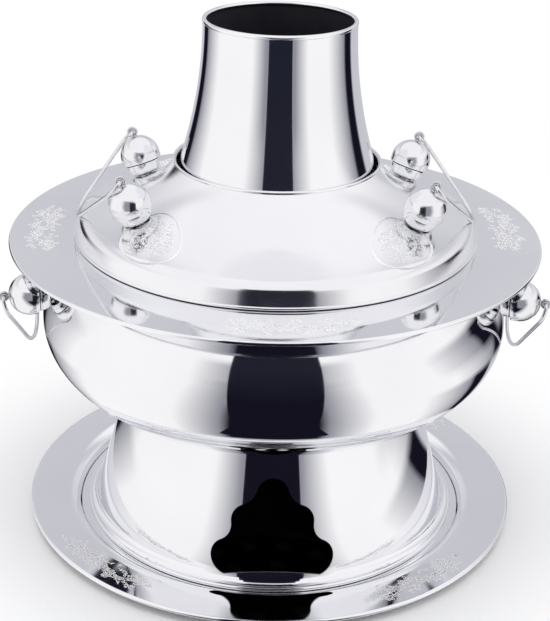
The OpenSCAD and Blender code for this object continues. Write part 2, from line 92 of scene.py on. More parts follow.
class HotPotSizes(bpy.types.PropertyGroup):
    """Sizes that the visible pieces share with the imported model"""

    brim_radius: length("Brim radius", "Outer radius of the bowl's flat brim", 0.170)
    tray_radius: length("Tray radius", "Outer radius of the ash tray's rim", 0.1644)
    ball_diameter: length("Ball diameter", "Diameter of a ball knob", 0.026)
    wire_radius: length("Bail wire radius", "Radius of the wire of the four bails", 0.0012)
    etch_width: length("Etched line width", "Width of a line of the etched ornament", 0.00062)


class HotPotFinish(bpy.types.PropertyGroup):
    """Colours and polish of the metal and of the stage"""

    steel: colour("Steel", "Colour of the polished sheet", (0.91, 0.91, 0.93))
    polish: bpy.props.FloatProperty(
        name="Polish", description="Roughness of the polished sheet",
        default=0.05, min=0.01, max=0.6, subtype="FACTOR")
    etch: colour("Etched lines", "Colour of the frosted ornament", (0.92, 0.92, 0.93))
    floor: colour("Floor", "Colour of the table top", (0.90, 0.90, 0.91))


# ---- curves, in millimetres -----------------------------------------------------------------

def polar(c, r, a):
    return (c[0] + r * cos(radians(a)), c[1] + r * sin(radians(a)))


def arc(c, r, a0, a1, n):
    return [polar(c, r, a0 + (a1 - a0) * i / n) for i in range(n + 1)]


def oval(c, rx, ry, a0, a1, n):
    angles = (radians(a0 + (a1 - a0) * i / n) for i in range(n + 1))
    return [(c[0] + rx * cos(a), c[1] + ry * sin(a)) for a in angles]


def straight(p, q, n):
    return [(p[0] + (q[0] - p[0]) * i / n, p[1] + (q[1] - p[1]) * i / n) for i in range(n + 1)]


def cubic(p, u):
    w = ((1 - u) ** 3, 3 * (1 - u) ** 2 * u, 3 * (1 - u) * u * u, u ** 3)
    return (sum(k * q[0] for k, q in zip(w, p)), sum(k * q[1] for k, q in zip(w, p)))


def cubic_way(p, u):
    w = ((1 - u) ** 2, 2 * (1 - u) * u, u * u)
    x = sum(k * (b[0] - a[0]) for k, a, b in zip(w, p, p[1:]))
    y = sum(k * (b[1] - a[1]) for k, a, b in zip(w, p, p[1:]))
    return (x / hypot(x, y), y / hypot(x, y))


def cubic_find(p, x):
    lo, hi = 0.0, 1.0
    for _ in range(40):
        mid = (lo + hi) / 2
        lo, hi = (mid, hi) if cubic(p, mid)[0] < x else (lo, mid)
    return lo


def side_step(path, w):
    """The path moved sideways by w, to the left of its direction."""
    out = []
    for i, p in enumerate(path):
        a, b = path[max(i - 1, 0)], path[min(i + 1, len(path) - 1)]
        d = hypot(b[0] - a[0], b[1] - a[1])
        out.append((p[0] - w * (b[1] - a[1]) / d, p[1] + w * (b[0] - a[0]) / d))
    return out


# ---- sizes of the solids, in millimetres -------------------------------------------------------

SEAT_GAP = 0.25
FLOOR_Z = 0.8
HEM_Z = FLOOR_Z + SEAT_GAP
BOWL_Z = HEM_Z + 89
GIRTH_Z = BOWL_Z + 50
BRIM_Z = GIRTH_Z + 55
FLUE_Z = BOWL_Z + 0.9
FLUE_H = 240.4
LID_Z = BRIM_Z + SEAT_GAP
LID_H = 47.8

TRAY_H, TRAY_R, TRAY_WALL, TRAY_BEAD = 8.0, 164.4, 0.8, 1.6
BOWL_A, BOWL_FLOOR_R, BOWL_WALL, BOWL_TURN = 60.8, 90.0, 0.9, 2.5
BRIM_R, BRIM_BEAD = 170.0, 1.3
FLUE_TOP_R, FLUE_BASE_R, FLUE_BEND, FLUE_WALL = 47.4, 86.4, 151.0, 0.8
TUBE_R = FLUE_BASE_R - FLUE_WALL

FOOT_R, FOOT_NECK_R, FOOT_FLANGE_R = 118.4, 95.6, 91.6
FOOT_WALL, FOOT_TURN, FOOT_FLARE = 0.8, 2, 7.5
FOOT_BEAD, FLUE_BEAD, LID_BEAD, LID_HOLE_BEAD = 1.6, 1.5, 1.0, 0.9
LID_GAP = 3.1
# The draught hole over its sill: centre and radius of each lobe, and the hollows between them
CLOUD_LOBES = (((0, 51.3), 10), ((15, 33.8), 11), ((27.1, 11), 11.4))
CLOUD_HOLLOWS = (14, 11)
SILL_Z, SILL_ARCH = FLOOR_Z + 7.2, 3.4


def flue_r(h):
    sweep = (FLUE_BASE_R - FLUE_TOP_R) / FLUE_H ** 2
    if h > FLUE_BEND:
        return FLUE_TOP_R + sweep * FLUE_H / (FLUE_H - FLUE_BEND) * (FLUE_H - h) ** 2
    return FLUE_BASE_R - sweep * FLUE_H / FLUE_BEND * h * h


LID_HOLE_R = flue_r(LID_Z + LID_H - FLUE_Z) + LID_GAP
LID_CURVE = (
    (LID_HOLE_R, LID_Z + LID_H),
    (LID_HOLE_R + 6.4, LID_Z + LID_H * 0.76),
    (LID_HOLE_R + 17.7, LID_Z + LID_H * 0.465),
    (119.5, LID_Z + 15),
)
LID_SHOULDER, LID_BAND_LEAN = 8.5, 15
LID_KNOB_R, LID_KNOB_ANGLE = 96.8, 27.4
LID_SEAT, LID_WALL = 0.65, 0.8
BOWL_KNOB_ANGLE, BOWL_KNOB_Z = 16.9, GIRTH_Z + 27.6

BALL_LEN, BALL_SEAM, BALL_BASE_R, BALL_LEDGE = 25.2, 7.4, 7.5, 1.8
STUD_R, EYE_R, EYE_WIRE, EYE_RISE = 2.0, 2.5, 0.95, 3.0
BAIL_DROP, BAIL_WAIST, BAIL_KNEE, BAIL_HOOK = 50.0, 9.0, 12.0, 2.6
BAIL_WIRE, BAIL_SLANT, BAIL_SIDE_GAP = 1.2, 45, 0.65
BOWL_BAIL_LEAN = 12

KNOB_U = cubic_find(LID_CURVE, LID_KNOB_R)
KNOB_P = cubic(LID_CURVE, KNOB_U)
KNOB_WAY = cubic_way(LID_CURVE, KNOB_U)
KNOB_LEAN = -degrees(atan2(KNOB_WAY[1], KNOB_WAY[0]))
SLOPE_WAY = cubic_way(LID_CURVE, 1)
SHOULDER_C = (LID_CURVE[3][0] + LID_SHOULDER * SLOPE_WAY[1],
              LID_CURVE[3][1] - LID_SHOULDER * SLOPE_WAY[0])


def bowl_r_at(z):
    return BOWL_FLOOR_R + sqrt(BOWL_A ** 2 - (z - GIRTH_Z) ** 2)


def ball_cup(ball_r, start, n):
    return oval((BALL_BASE_R, BALL_SEAM - 0.8), ball_r - BALL_LEDGE - BALL_BASE_R, BALL_SEAM - 0.8,
                start, 0, n)


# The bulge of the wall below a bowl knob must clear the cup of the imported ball.
BOWL_SEAT = 0.3 + max(bowl_r_at(BOWL_KNOB_Z - r) - bowl_r_at(BOWL_KNOB_Z) - z
                      for r, z in oval((BALL_BASE_R, BALL_SEAM - 0.8), 4.8, BALL_SEAM - 0.8, -72, 0, 6))


def tray_path():
    foot, step, rim = (129.4, 0), (132.8, TRAY_H - 2.7 - TRAY_WALL), (137.2, TRAY_H - TRAY_WALL)
    return (straight((0, 0), foot, 12) + straight(foot, step, 4)[1:]
            + straight(step, rim, 3)[1:]
            + straight(rim, (TRAY_R - TRAY_BEAD, TRAY_H - TRAY_WALL), 6)[1:])


def foot_path():
    low_z = HEM_Z + FOOT_BEAD + FOOT_FLARE * 0.83
    lean = degrees(atan((FOOT_R - FOOT_NECK_R) / (BOWL_Z - FOOT_TURN - low_z)))
    centre = (FOOT_R + FOOT_FLARE * cos(radians(lean)), low_z + FOOT_FLARE * sin(radians(lean)))
    top = arc((FOOT_NECK_R - FOOT_TURN, BOWL_Z - FOOT_TURN), FOOT_TURN, 90, lean, 8)
    flare = arc(centre, FOOT_FLARE, 180 + lean, 250, 14)
    return [(FOOT_FLANGE_R, BOWL_Z)] + top + straight(top[-1], flare[0], 40)[1:-1] + flare


def bowl_path():
    under = BRIM_Z - BOWL_WALL
    t = degrees(asin((under - GIRTH_Z - BOWL_TURN) / (BOWL_A + BOWL_TURN)))
    turn_c = polar((BOWL_FLOOR_R, GIRTH_Z), BOWL_A + BOWL_TURN, t)
    return ([(TUBE_R, BOWL_Z)]
            + oval((BOWL_FLOOR_R, GIRTH_Z), BOWL_A, 50, -90, 0, 60)
            + arc((BOWL_FLOOR_R, GIRTH_Z), BOWL_A, t / 40, t, 39)
            + arc(turn_c, BOWL_TURN, t - 180 - 12, -270, 10)
            + [(BRIM_R - BRIM_BEAD, under)])


def flue_path():
    steps = 110
    heights = [FLUE_WALL + (FLUE_H - FLUE_WALL) * i / steps for i in range(steps + 1)]
    return [(flue_r(h), FLUE_Z + h) for h in heights]


def lid_path():
    slope = degrees(atan2(SLOPE_WAY[1], SLOPE_WAY[0])) + 90
    band_top = polar(SHOULDER_C, LID_SHOULDER, LID_BAND_LEAN)
    drop = band_top[1] - (LID_Z + LID_BEAD)
    foot = (band_top[0] + drop * tan(radians(LID_BAND_LEAN)), LID_Z + LID_BEAD)
    return ([cubic(LID_CURVE, i / 70) for i in range(71)]
            + arc(SHOULDER_C, LID_SHOULDER, slope, LID_BAND_LEAN, 22)[1:]
            + straight(band_top, foot, 6)[1:])


def ball_path(ball_r):
    """Cup with a rolled edge, a groove at the seam, a short barrel and a dome."""
    hole, seam_r, mid = STUD_R + 0.1, ball_r - BALL_LEDGE, BALL_LEN - ball_r
    tip = hole * ball_r / (ball_r - 1)
    groove = [(seam_r - 0.12, BALL_SEAM - 0.5), (seam_r - 0.4, BALL_SEAM - 0.3),
              (seam_r - 0.4, BALL_SEAM + 0.1), (ball_r - 0.8, BALL_SEAM + 0.22),
              (ball_r - 0.35, BALL_SEAM + 0.45), (ball_r - 0.12, BALL_SEAM + 0.9)]
    return ([(hole, 0), (BALL_BASE_R, 0)] + ball_cup(ball_r, -80, 12) + groove
            + arc((0, mid), ball_r, 0, degrees(acos(tip / ball_r)), 34))


# ---- mesh helpers -------------------------------------------------------------------------------

def mesh_object(name, verts, faces, edges=()):
    mesh = bpy.data.meshes.new(name)
    mesh.from_pydata(verts, list(edges), faces)
    mesh.validate()
    obj = bpy.data.objects.new(name, mesh)
    bpy.context.scene.collection.objects.link(obj)
    return obj


def spin(profiles, steps=256):
    """Vertices, faces and UVs of closed shells: each profile is a loop of radius and height."""
    verts, faces, uvs = [], [], []
    for loop in profiles:
        on_axis = [r < 1e-6 for r, _ in loop]
        length, run = [0.0], 0.0
        for a, b in zip(loop, loop[1:]):
            run += hypot(b[0] - a[0], b[1] - a[1])
            length.append(run)
        first = []
        for (r, z), pole in zip(loop, on_axis):
            first.append(len(verts))
            for j in range(1 if pole else steps):
                a = 2 * pi * j / steps
                verts.append((r * sin(a) * MM, -r * cos(a) * MM, z * MM))
        closed = not (on_axis[0] and on_axis[-1])
        for i in range(len(loop) if closed else len(loop) - 1):
            k = (i + 1) % len(loop)
            v0, v1 = length[i] * MM, (length[k] if k else run) * MM
            for j in range(steps):
                n = (j + 1) % steps
                u0, u1 = j / steps, (j + 1) / steps
                if on_axis[i]:
                    face, uv = (first[i], first[k] + n, first[k] + j), ((u0, v0), (u1, v1), (u0, v1))
                elif on_axis[k]:
                    face, uv = (first[i] + j, first[i] + n, first[k]), ((u0, v0), (u1, v0), (u0, v1))
                else:
                    face = (first[i] + j, first[i] + n, first[k] + n, first[k] + j)
                    uv = ((u0, v0), (u1, v0), (u1, v1), (u0, v1))
                faces.append(face)
                uvs.extend(uv)
    return verts, faces, uvs


def spun_piece(name, profiles, material, steps=256):
    """A lathe-turned piece with its circumference in U and the length of its profile in V."""
    verts, faces, uvs = spin(profiles, steps)
    obj = mesh_object(name, verts, faces)
    layer = obj.data.uv_layers.new(name="turning")
    for i, uv in enumerate(uvs):
        layer.data[i].uv = uv
    face_outward(obj)
    smooth(obj, 32)
    obj.data.materials.append(material)
    return obj


def face_outward(obj):
    build = bmesh.new()
    build.from_mesh(obj.data)
    bmesh.ops.recalc_face_normals(build, faces=build.faces)
    build.to_mesh(obj.data)
    build.free()


def smooth(obj, angle):
    obj.data.shade_smooth()
    obj.data.set_sharp_from_angle(angle=radians(angle))


def joined(first, *others):
    """first with the others' meshes added to it."""
    with bpy.context.temp_override(active_object=first, object=first,
                                   selected_editable_objects=[first, *others]):
        bpy.ops.object.join()
    return first


def sheet(path, wall):
    """Closed profile of a sheet that lies to the left of its outer path."""
    return path + side_step(path, wall)[::-1]


def bead(r, z, radius, n=22):
    return [(r + radius * cos(2 * pi * i / n), z + radius * sin(2 * pi * i / n)) for i in range(n)]


def knob_matrix(on_lid, side, end):
    """Place of a knob: its Z is the knob's axis and starts on the sheet that carries it."""
    angle = LID_KNOB_ANGLE if on_lid else BOWL_KNOB_ANGLE
    turn = 180 - end * angle if side == 180 else end * angle
    if on_lid:
        seat, lean = Vector((KNOB_P[0] * MM, 0, KNOB_P[1] * MM)), KNOB_LEAN
    else:
        seat, lean = Vector((bowl_r_at(BOWL_KNOB_Z) * MM, 0, BOWL_KNOB_Z * MM)), 90
    return (Matrix.Rotation(radians(turn), 4, "Z") @ Matrix.Translation(seat)
            @ Matrix.Rotation(radians(lean), 4, "Y"))


def ring_turn(side, end, angle, lean):
    """Turn of an eye about its shank that brings its hole nearest to the pin line."""
    return (end if side == 180 else -end) * degrees(atan(tan(radians(angle)) * cos(radians(lean))))


# ---- materials ------------------------------------------------------------------------------------

class Shader:
    """A material under construction: nodes by type, links by name."""

    def __init__(self, name):
        self.material = bpy.data.materials.new(name)
        self.material.use_nodes = True
        self.tree = self.material.node_tree
        self.bsdf = self.tree.nodes["Principled BSDF"]
        self.output = self.tree.nodes["Material Output"]

    @classmethod
    def on_tree(cls, tree):
        """The same helpers on a tree that is there already."""
        made = cls.__new__(cls)
        made.tree = tree
        return made

    def node(self, kind, **values):
        made = self.tree.nodes.new(kind)
        for key, value in values.items():
            if hasattr(made, key):
                setattr(made, key, value)
            else:
                made.inputs[key.replace("_", " ")].default_value = value
        return made

    def link(self, source, target):
        self.tree.links.new(source, target)

    def steps(self, source, *stops):
        """Piecewise ramp through (position, grey or colour) stops."""
        ramp = self.node("ShaderNodeValToRGB")
        for i, (at, value) in enumerate(stops):
            element = ramp.color_ramp.elements[i] if i < 2 else ramp.color_ramp.elements.new(at)
            element.position = at
            element.color = value if isinstance(value, tuple) else (value, value, value, 1)
        self.link(source, ramp.inputs["Fac"])
        return ramp.outputs["Color"]

    def range(self, source, low, high):
        """source, from 0 to 1, mapped to low to high."""
        made = self.node("ShaderNodeMapRange")
        made.inputs["To Min"].default_value = low
        made.inputs["To Max"].default_value = high
        self.link(source, made.inputs["Value"])
        return made.outputs["Result"]

    def noise(self, vector, **values):
        made = self.node("ShaderNodeTexNoise", **values)
        self.link(vector, made.inputs["Vector"])
        return made.outputs["Fac"]

    def math(self, operation, *values):
        """One operation on sockets and plain numbers."""
        made = self.node("ShaderNodeMath", operation=operation)
        for value, socket in zip(values, made.inputs):
            if isinstance(value, (int, float)):
                socket.default_value = value
            else:
                self.link(value, socket)
        return made.outputs[0]

    def mix(self, factor, a, b):
        made = self.node("ShaderNodeMix", data_type="RGBA")
        self.link(factor, made.inputs[0])
        for value, socket in ((a, made.inputs[6]), (b, made.inputs[7])):
            if isinstance(value, tuple):
                socket.default_value = value
            else:
                self.link(value, socket)
        return made.outputs[2]

    def bump(self, height, strength, distance):
        made = self.node("ShaderNodeBump", Strength=strength, Distance=distance)
        self.link(height, made.inputs["Height"])
        self.link(made.outputs["Normal"], self.bsdf.inputs["Normal"])


def tinted(colour, k):
    return tuple(min(1, c * k) for c in colour) + (1,)


def turned_steel(name, colour, rough, line_scale=2600.0, line_depth=0.015):
    """Polished sheet with the fine turning lines of a spun piece, faint cloudiness and smears."""
    s = Shader(name)
    s.bsdf.inputs["Metallic"].default_value = 1.0
    uv = s.node("ShaderNodeTexCoord")
    scale = s.node("ShaderNodeMapping")
    scale.inputs["Scale"].default_value = (3.0, line_scale, 1.0)
    s.link(uv.outputs["UV"], scale.inputs["Vector"])
    lines = s.noise(scale.outputs["Vector"], Scale=1.0, Detail=2.0)
    clouds = s.noise(uv.outputs["Object"], Scale=14.0, Detail=3.0)
    smears = s.noise(uv.outputs["Object"], Scale=55.0, Detail=4.0, Distortion=0.6)
    tone = s.steps(clouds, (0.3, 0.0), (0.7, 1.0))
    s.link(s.mix(tone, tinted(colour, 0.97), tinted(colour, 1.02)), s.bsdf.inputs["Base Color"])
    smeared = s.range(s.steps(smears, (0.35, 0.0), (0.75, 1.0)), rough * 0.85, rough * 1.35)
    s.link(s.math("MULTIPLY_ADD", s.range(lines, -0.35, 0.35), rough, smeared),
           s.bsdf.inputs["Roughness"])
    s.bump(lines, line_depth, 0.0002)
    return s.material


def grained_metal(name, colour, rough, scale=400.0, stretch=(1.0, 1.0, 1.0), depth=0.05):
    """Metal with a fine grain on Object coordinates, for wire, knobs and small parts."""
    s = Shader(name)
    s.bsdf.inputs["Metallic"].default_value = 1.0
    where = s.node("ShaderNodeTexCoord")
    place = s.node("ShaderNodeMapping")
    place.inputs["Scale"].default_value = stretch
    s.link(where.outputs["Object"], place.inputs["Vector"])
    grain = s.noise(place.outputs["Vector"], Scale=scale, Detail=3.0)
    wear = s.noise(where.outputs["Object"], Scale=60.0, Detail=3.0)
    tone = s.steps(wear, (0.3, 0.0), (0.7, 1.0))
    s.link(s.mix(tone, tinted(colour, 0.92), tinted(colour, 1.05)), s.bsdf.inputs["Base Color"])
    s.link(s.range(grain, rough * 0.7, rough * 1.4), s.bsdf.inputs["Roughness"])
    s.bump(grain, depth, 0.0002)
    return s.material


def sooty_steel(name):
    """Fire side of the sheet: a dull, bluish black coat with paler dusty patches. The balls also wear it in
    their seam groove, as painted shade.
    """
    s = Shader(name)
    where = s.node("ShaderNodeTexCoord")
    coat = s.noise(where.outputs["Object"], Scale=22.0, Detail=5.0, Distortion=0.5)
    dust = s.noise(where.outputs["Object"], Scale=420.0, Detail=4.0)
    patches = s.steps(coat, (0.35, 0.0), (0.72, 1.0))
    s.link(s.mix(patches, (0.007, 0.007, 0.012, 1), (0.020, 0.020, 0.027, 1)), s.bsdf.inputs["Base Color"])
    s.link(s.range(dust, 0.42, 0.75), s.bsdf.inputs["Roughness"])
    s.bump(dust, 0.2, 0.0002)
    return s.material


def fired_steel(name):
    """Grate and lugs: dark scaled steel with straw and blue heat stains and a little ash."""
    s = Shader(name)
    s.bsdf.inputs["Metallic"].default_value = 1.0
    where = s.node("ShaderNodeTexCoord")
    heat = s.noise(where.outputs["Object"], Scale=16.0, Detail=4.0, Distortion=0.8)
    ash = s.noise(where.outputs["Object"], Scale=260.0, Detail=5.0)
    stain = s.steps(heat, (0.30, (0.045, 0.045, 0.055, 1)), (0.48, (0.075, 0.062, 0.048, 1)),
                    (0.62, (0.050, 0.054, 0.070, 1)), (0.78, (0.085, 0.082, 0.080, 1)))
    dust = s.steps(ash, (0.55, 0.0), (0.72, 0.4))
    s.link(s.mix(dust, stain, (0.16, 0.155, 0.15, 1)), s.bsdf.inputs["Base Color"])
    s.link(s.range(ash, 0.42, 0.72), s.bsdf.inputs["Roughness"])
    s.bump(ash, 0.25, 0.0003)
    return s.material


def etched_steel(name, colour):
    """Frosted lines of the ornament: bright, rough, slightly uneven."""
    s = Shader(name)
    s.bsdf.inputs["Metallic"].default_value = 0.3
    where = s.node("ShaderNodeTexCoord")
    frost = s.noise(where.outputs["Object"], Scale=1800.0, Detail=2.0)
    s.link(s.mix(frost, tinted(colour, 0.88), tinted(colour, 1.05)),
           s.bsdf.inputs["Base Color"])
    s.link(s.range(frost, 0.38, 0.62), s.bsdf.inputs["Roughness"])
    s.bump(frost, 0.3, 0.0001)
    return s.material


def finish_of(name):
    """The named material, made on first use."""
    if name in bpy.data.materials:
        return bpy.data.materials[name]
    f = bpy.context.scene.hot_pot_finish
    steel, polish = tuple(f.steel), f.polish
    makers = {
        "sheet_steel": lambda: turned_steel(name, steel, polish),
        "lid_steel": lambda: turned_steel(name, steel, polish * 2.8, 2200.0, 0.03),
        "cut_edge": lambda: grained_metal(name, steel, 0.45, 900.0),
        "sooty_steel": lambda: sooty_steel(name),
        "ball_steel": lambda: turned_steel(name, tuple(c * 0.97 for c in steel), polish * 2.4, 3000.0, 0.03),
        "wire_steel": lambda: grained_metal(name, tuple(c * 0.9 for c in steel), 0.22),
        "bolt_steel": lambda: grained_metal(name, tuple(c * 0.85 for c in steel), 0.26),
        "fired_steel": lambda: fired_steel(name),
        "etched_steel": lambda: etched_steel(name, tuple(f.etch)),
    }
    makers[name]()
    return bpy.data.materials[name]


# ---- geometry node trees ---------------------------------------------------------------------------

class Nodes:
    """A geometry node tree under construction, with named inputs."""

    def __init__(self, name, **inputs):
        self.tree = bpy.data.node_groups.new(name, "GeometryNodeTree")
        self.tree.is_modifier = True
        add = self.tree.interface.new_socket
        add("Geometry", in_out="INPUT", socket_type="NodeSocketGeometry")
        self.ids = {}
        for key, (kind, default) in inputs.items():
            socket = add(key.replace("_", " "), in_out="INPUT", socket_type=kind)
            if default is not None:
                socket.default_value = default
            self.ids[key] = socket.identifier
        add("Geometry", in_out="OUTPUT", socket_type="NodeSocketGeometry")
        self.start = self.tree.nodes.new("NodeGroupInput")
        self.end = self.tree.nodes.new("NodeGroupOutput")

    def node(self, kind, **links):
        made = self.tree.nodes.new(kind)
        for key, value in links.items():
            socket = made.inputs[key.replace("_", " ")]
            if isinstance(value, bpy.types.NodeSocket):
                self.tree.links.new(value, socket)
            else:
                socket.default_value = value
        return made

    def given(self, key):
        return self.start.outputs[key.replace("_", " ")]

    def close(self, geometry):
        """Every tree ends in Realize Instances and Set Material."""
        real = self.node("GeometryNodeRealizeInstances", Geometry=geometry)
        named = self.node("GeometryNodeSetMaterial", Geometry=real.outputs[0])
        self.tree.links.new(self.given("Material"), named.inputs["Material"])
        self.tree.links.new(named.outputs[0], self.end.inputs[0])


def wire_tree():
    """A tube or flat line along the edges of the mesh it is given."""
    if "wire_on_path" in bpy.data.node_groups:
        return bpy.data.node_groups["wire_on_path"]
    g = Nodes("wire_on_path", Radius=("NodeSocketFloat", 0.0012), Sides=("NodeSocketInt", 20),
              Flatness=("NodeSocketFloat", 1.0), Material=("NodeSocketMaterial", None))
    path = g.node("GeometryNodeMeshToCurve", Mesh=g.start.outputs[0])
    upright = g.node("GeometryNodeSetCurveNormal", Curve=path.outputs[0])
    upright.mode = "Z_UP"
    ring = g.node("GeometryNodeCurvePrimitiveCircle", Resolution=g.given("Sides"),
                  Radius=g.given("Radius"))
    flat = g.node("ShaderNodeCombineXYZ", X=1.0, Y=g.given("Flatness"), Z=1.0)
    pressed = g.node("GeometryNodeTransform", Geometry=ring.outputs[0], Scale=flat.outputs[0])
    tube = g.node("GeometryNodeCurveToMesh", Curve=upright.outputs[0],
                  Profile_Curve=pressed.outputs[0], Fill_Caps=True)
    even = g.node("GeometryNodeSetShadeSmooth", Geometry=tube.outputs[0])
    g.close(even.outputs[0])
    return g.tree


def copies_tree():
    """Copies of one piece on the points of a mesh, turned by the points' own angles."""
    if "copies_on_points" in bpy.data.node_groups:
        return bpy.data.node_groups["copies_on_points"]
    g = Nodes("copies_on_points", Piece=("NodeSocketObject", None), Material=("NodeSocketMaterial", None))
    piece = g.node("GeometryNodeObjectInfo", Object=g.given("Piece"))
    turn = g.node("GeometryNodeInputNamedAttribute", Name="turn")
    turn.data_type = "FLOAT_VECTOR"
    made = g.node("GeometryNodeInstanceOnPoints", Points=g.start.outputs[0],
                  Instance=piece.outputs["Geometry"], Rotation=turn.outputs[0])
    g.close(made.outputs[0])
    return g.tree


def grown(obj, tree, **values):
    """The plain mesh that the tree makes of obj, under obj's name; obj itself goes."""
    inputs = {s.name: s.identifier for s in tree.interface.items_tree
              if getattr(s, "in_out", "") == "INPUT"}
    modifier = obj.modifiers.new("nodes", "NODES")
    modifier.node_group = tree
    for key, value in values.items():
        modifier[inputs[key.replace("_", " ")]] = value
    made = obj.evaluated_get(bpy.context.evaluated_depsgraph_get())
    mesh = bpy.data.meshes.new_from_object(made)
    obj.modifiers.remove(modifier)
    name, old = obj.name, obj.data
    obj.data = mesh
    mesh.name = name
    bpy.data.meshes.remove(old)
    if not mesh.polygons:
        raise RuntimeError(f"{name}: the node tree made no faces")
    return obj


def lines_object(name, lines):
    """A mesh of edges only, one chain for each list of points in metres."""
    verts, edges = [], []
    for line in lines:
        base = len(verts)
        verts.extend(tuple(p) for p in line)
        edges.extend((base + i, base + i + 1) for i in range(len(line) - 1))
    return mesh_object(name, verts, [], edges)


def copies(name, source, matrices, material):
    """Copies of source at the matrices, as one plain mesh; source is removed."""
    points = mesh_object(name, [m.translation for m in matrices], [])
    turn = points.data.attributes.new("turn", "FLOAT_VECTOR", "POINT")
    for item, m in zip(turn.data, matrices):
        item.vector = m.to_euler()
    obj = grown(points, copies_tree(), Piece=source, Material=material)
    bpy.data.objects.remove(source)
    return obj


# ---- the etched ornament -------------------------------------------------------------------------

def spiral(cx, cy, r0, r1, a0, turns, n=16):
    return [(cx + (r0 + (r1 - r0) * i / n) * cos(radians(a0) + turns * 2 * pi * i / n),
             cy + (r0 + (r1 - r0) * i / n) * sin(radians(a0) + turns * 2 * pi * i / n))
            for i in range(n + 1)]


def serpent(length, height, bends, width):
    """A winding scaled body with fins, a curled head and clawed legs; x runs along it."""
    n = 72
    spine = []
    for i in range(n + 1):
        t = i / n
        swell = height * (0.55 + 0.45 * sin(pi * t))
        spine.append((-length / 2 + length * t, swell * sin(2 * pi * bends * t + 0.6)))
    left, right = [], []
    for i, p in enumerate(spine):
        t = i / n
        w = width * (0.25 + 0.75 * sin(pi * min(1, 0.12 + t * 0.88)) ** 0.7)
        a, b = spine[max(i - 1, 0)], spine[min(i + 1, n)]
        d = hypot(b[0] - a[0], b[1] - a[1])
        nx, ny = -(b[1] - a[1]) / d, (b[0] - a[0]) / d
        left.append((p[0] + nx * w, p[1] + ny * w))
        right.append((p[0] - nx * w, p[1] - ny * w))
    lines = [left, right]
    for i in range(4, n - 2, 3):
        mid = spine[i + 1]
        lines.append([left[i], mid, right[i]])
    for i in range(6, n - 6, 6):
        p, q = left[i], spine[i]
        out = (p[0] * 2 - q[0], p[1] * 2 - q[1])
        lines.append([p, (out[0] + 0.4, out[1] + 0.5)])
    hx, hy = spine[-1]
    lines += [
        spiral(hx + 1.6 * width, hy, 0.3 * width, 1.7 * width, 200, 1.2),
        [(hx + width * (1 + 0.5 * k), hy + width * (1.2 + 0.5 * sin(k))) for k in range(6)],
        [(hx + width * (1 + 0.5 * k), hy - width * (1.2 + 0.4 * sin(k))) for k in range(6)],
        [(hx - 0.5 * width, hy + 1.2 * width), (hx - 2 * width, hy + 2.6 * width),
         (hx - 3.4 * width, hy + 2.4 * width)],
    ]
    for t, way in ((0.28, 1), (0.5, -1), (0.76, 1)):
        x, y = spine[int(n * t)]
        knee = (x + 2.2 * width, y + way * 2.0 * width)
        lines.append([(x, y + way * 0.7 * width), knee])
        for k in (-1, 0, 1):
            lines.append([knee, (knee[0] + (1.5 + 0.2 * k) * width, knee[1] + way * (0.5 + 0.8 * k) * width)])
    return lines


def lace(seed, step, inside):
    """Small curls and sprigs, jittered on a triangular grid, wherever inside says so."""
    dice = Random(seed)
    lines = []
    rows = int(60 / step)
    for i in range(-rows, rows + 1):
        for j in range(-rows, rows + 1):
            x = (j + 0.5 * (i % 2) + dice.uniform(-0.22, 0.22)) * step
            y = (i * 0.87 + dice.uniform(-0.22, 0.22)) * step
            size, turn, way = dice.uniform(0.42, 0.62) * step, dice.uniform(0, 360), dice.choice((-1, 1))
            if not inside(x, y):
                continue
            if dice.random() < 0.72:
                lines.append(spiral(x, y, 0.12 * size, size, turn, way * dice.uniform(0.95, 1.4), 11))
            else:
                lines += [[polar((x, y), 0.15 * size, turn + k), polar((x, y), 0.8 * size, turn + k + 14),
                           polar((x, y), 1.25 * size, turn + k + 44)] for k in (-50, 0, 50, 180)]
    return lines


def frieze(length, height, seed):
    """Serpent winding through a lacy bank of clouds, an old pattern for round dishes."""
    def bank(x, y):
        ragged = 0.34 + 0.10 * sin(9.5 * x / length * pi + seed) + 0.05 * sin(23 * x / length * pi)
        ends = 1 - max(0, abs(x) / length - 0.36) / 0.14 * 0.75
        body = height * 0.20 * (0.55 + 0.45 * cos(pi * x / length / 0.8)) * sin(3.2 * pi * (x / length + 0.4))
        return abs(x) < length / 2 and abs(y) < height * ragged * ends and abs(y - body) > height * 0.10
    return serpent(length * 0.8, height * 0.2, 1.6, height * 0.08) + lace(seed, height * 0.15, bank)


def medallion(wide, high, seed, twist):
    """Oval badge: a bold ring round a coiled serpent in lacy clouds."""
    lines = [oval((0, 0), wide - k, high - k, 0, 360, 64) for k in (0, 0.3, 0.6, 0.9)]
    coil = [polar((0, 0), 0.10 + 0.52 * i / 60, 540 * i / 60) for i in range(61)]
    for k in (-1, 1):
        lines.append([(x * wide * (1 + k * 0.05 / (0.2 + i / 61)), y * high * (1 + k * 0.05 / (0.2 + i / 61)))
                      for i, (x, y) in enumerate(coil)])
    for i in range(3, 60, 2):
        x, y = coil[i]
        d = hypot(x, y)
        lines.append([(x * wide * (1 - 0.045 / d), y * high * (1 - 0.045 / d)),
                      (x * wide * (1 + 0.045 / d), y * high * (1 + 0.045 / d))])
    lines += lace(seed, wide * 0.17, lambda x, y: hypot(x / wide, y / high) < 0.76)
    c, q = cos(radians(twist)), sin(radians(twist))
    return [[(x * c - y * q, x * q + y * c) for x, y in line] for line in lines]


def on_flat(lines, mid_r, z, azimuth):
    """The motif on a level rim: x runs round the rim, y outwards; azimuth 0 is at the front."""
    out = []
    for line in lines:
        out.append([])
        for x, y in line:
            a = radians(azimuth) + x / mid_r
            r = (mid_r + y) * MM
            out[-1].append((r * sin(a), -r * cos(a), z * MM))
    return out


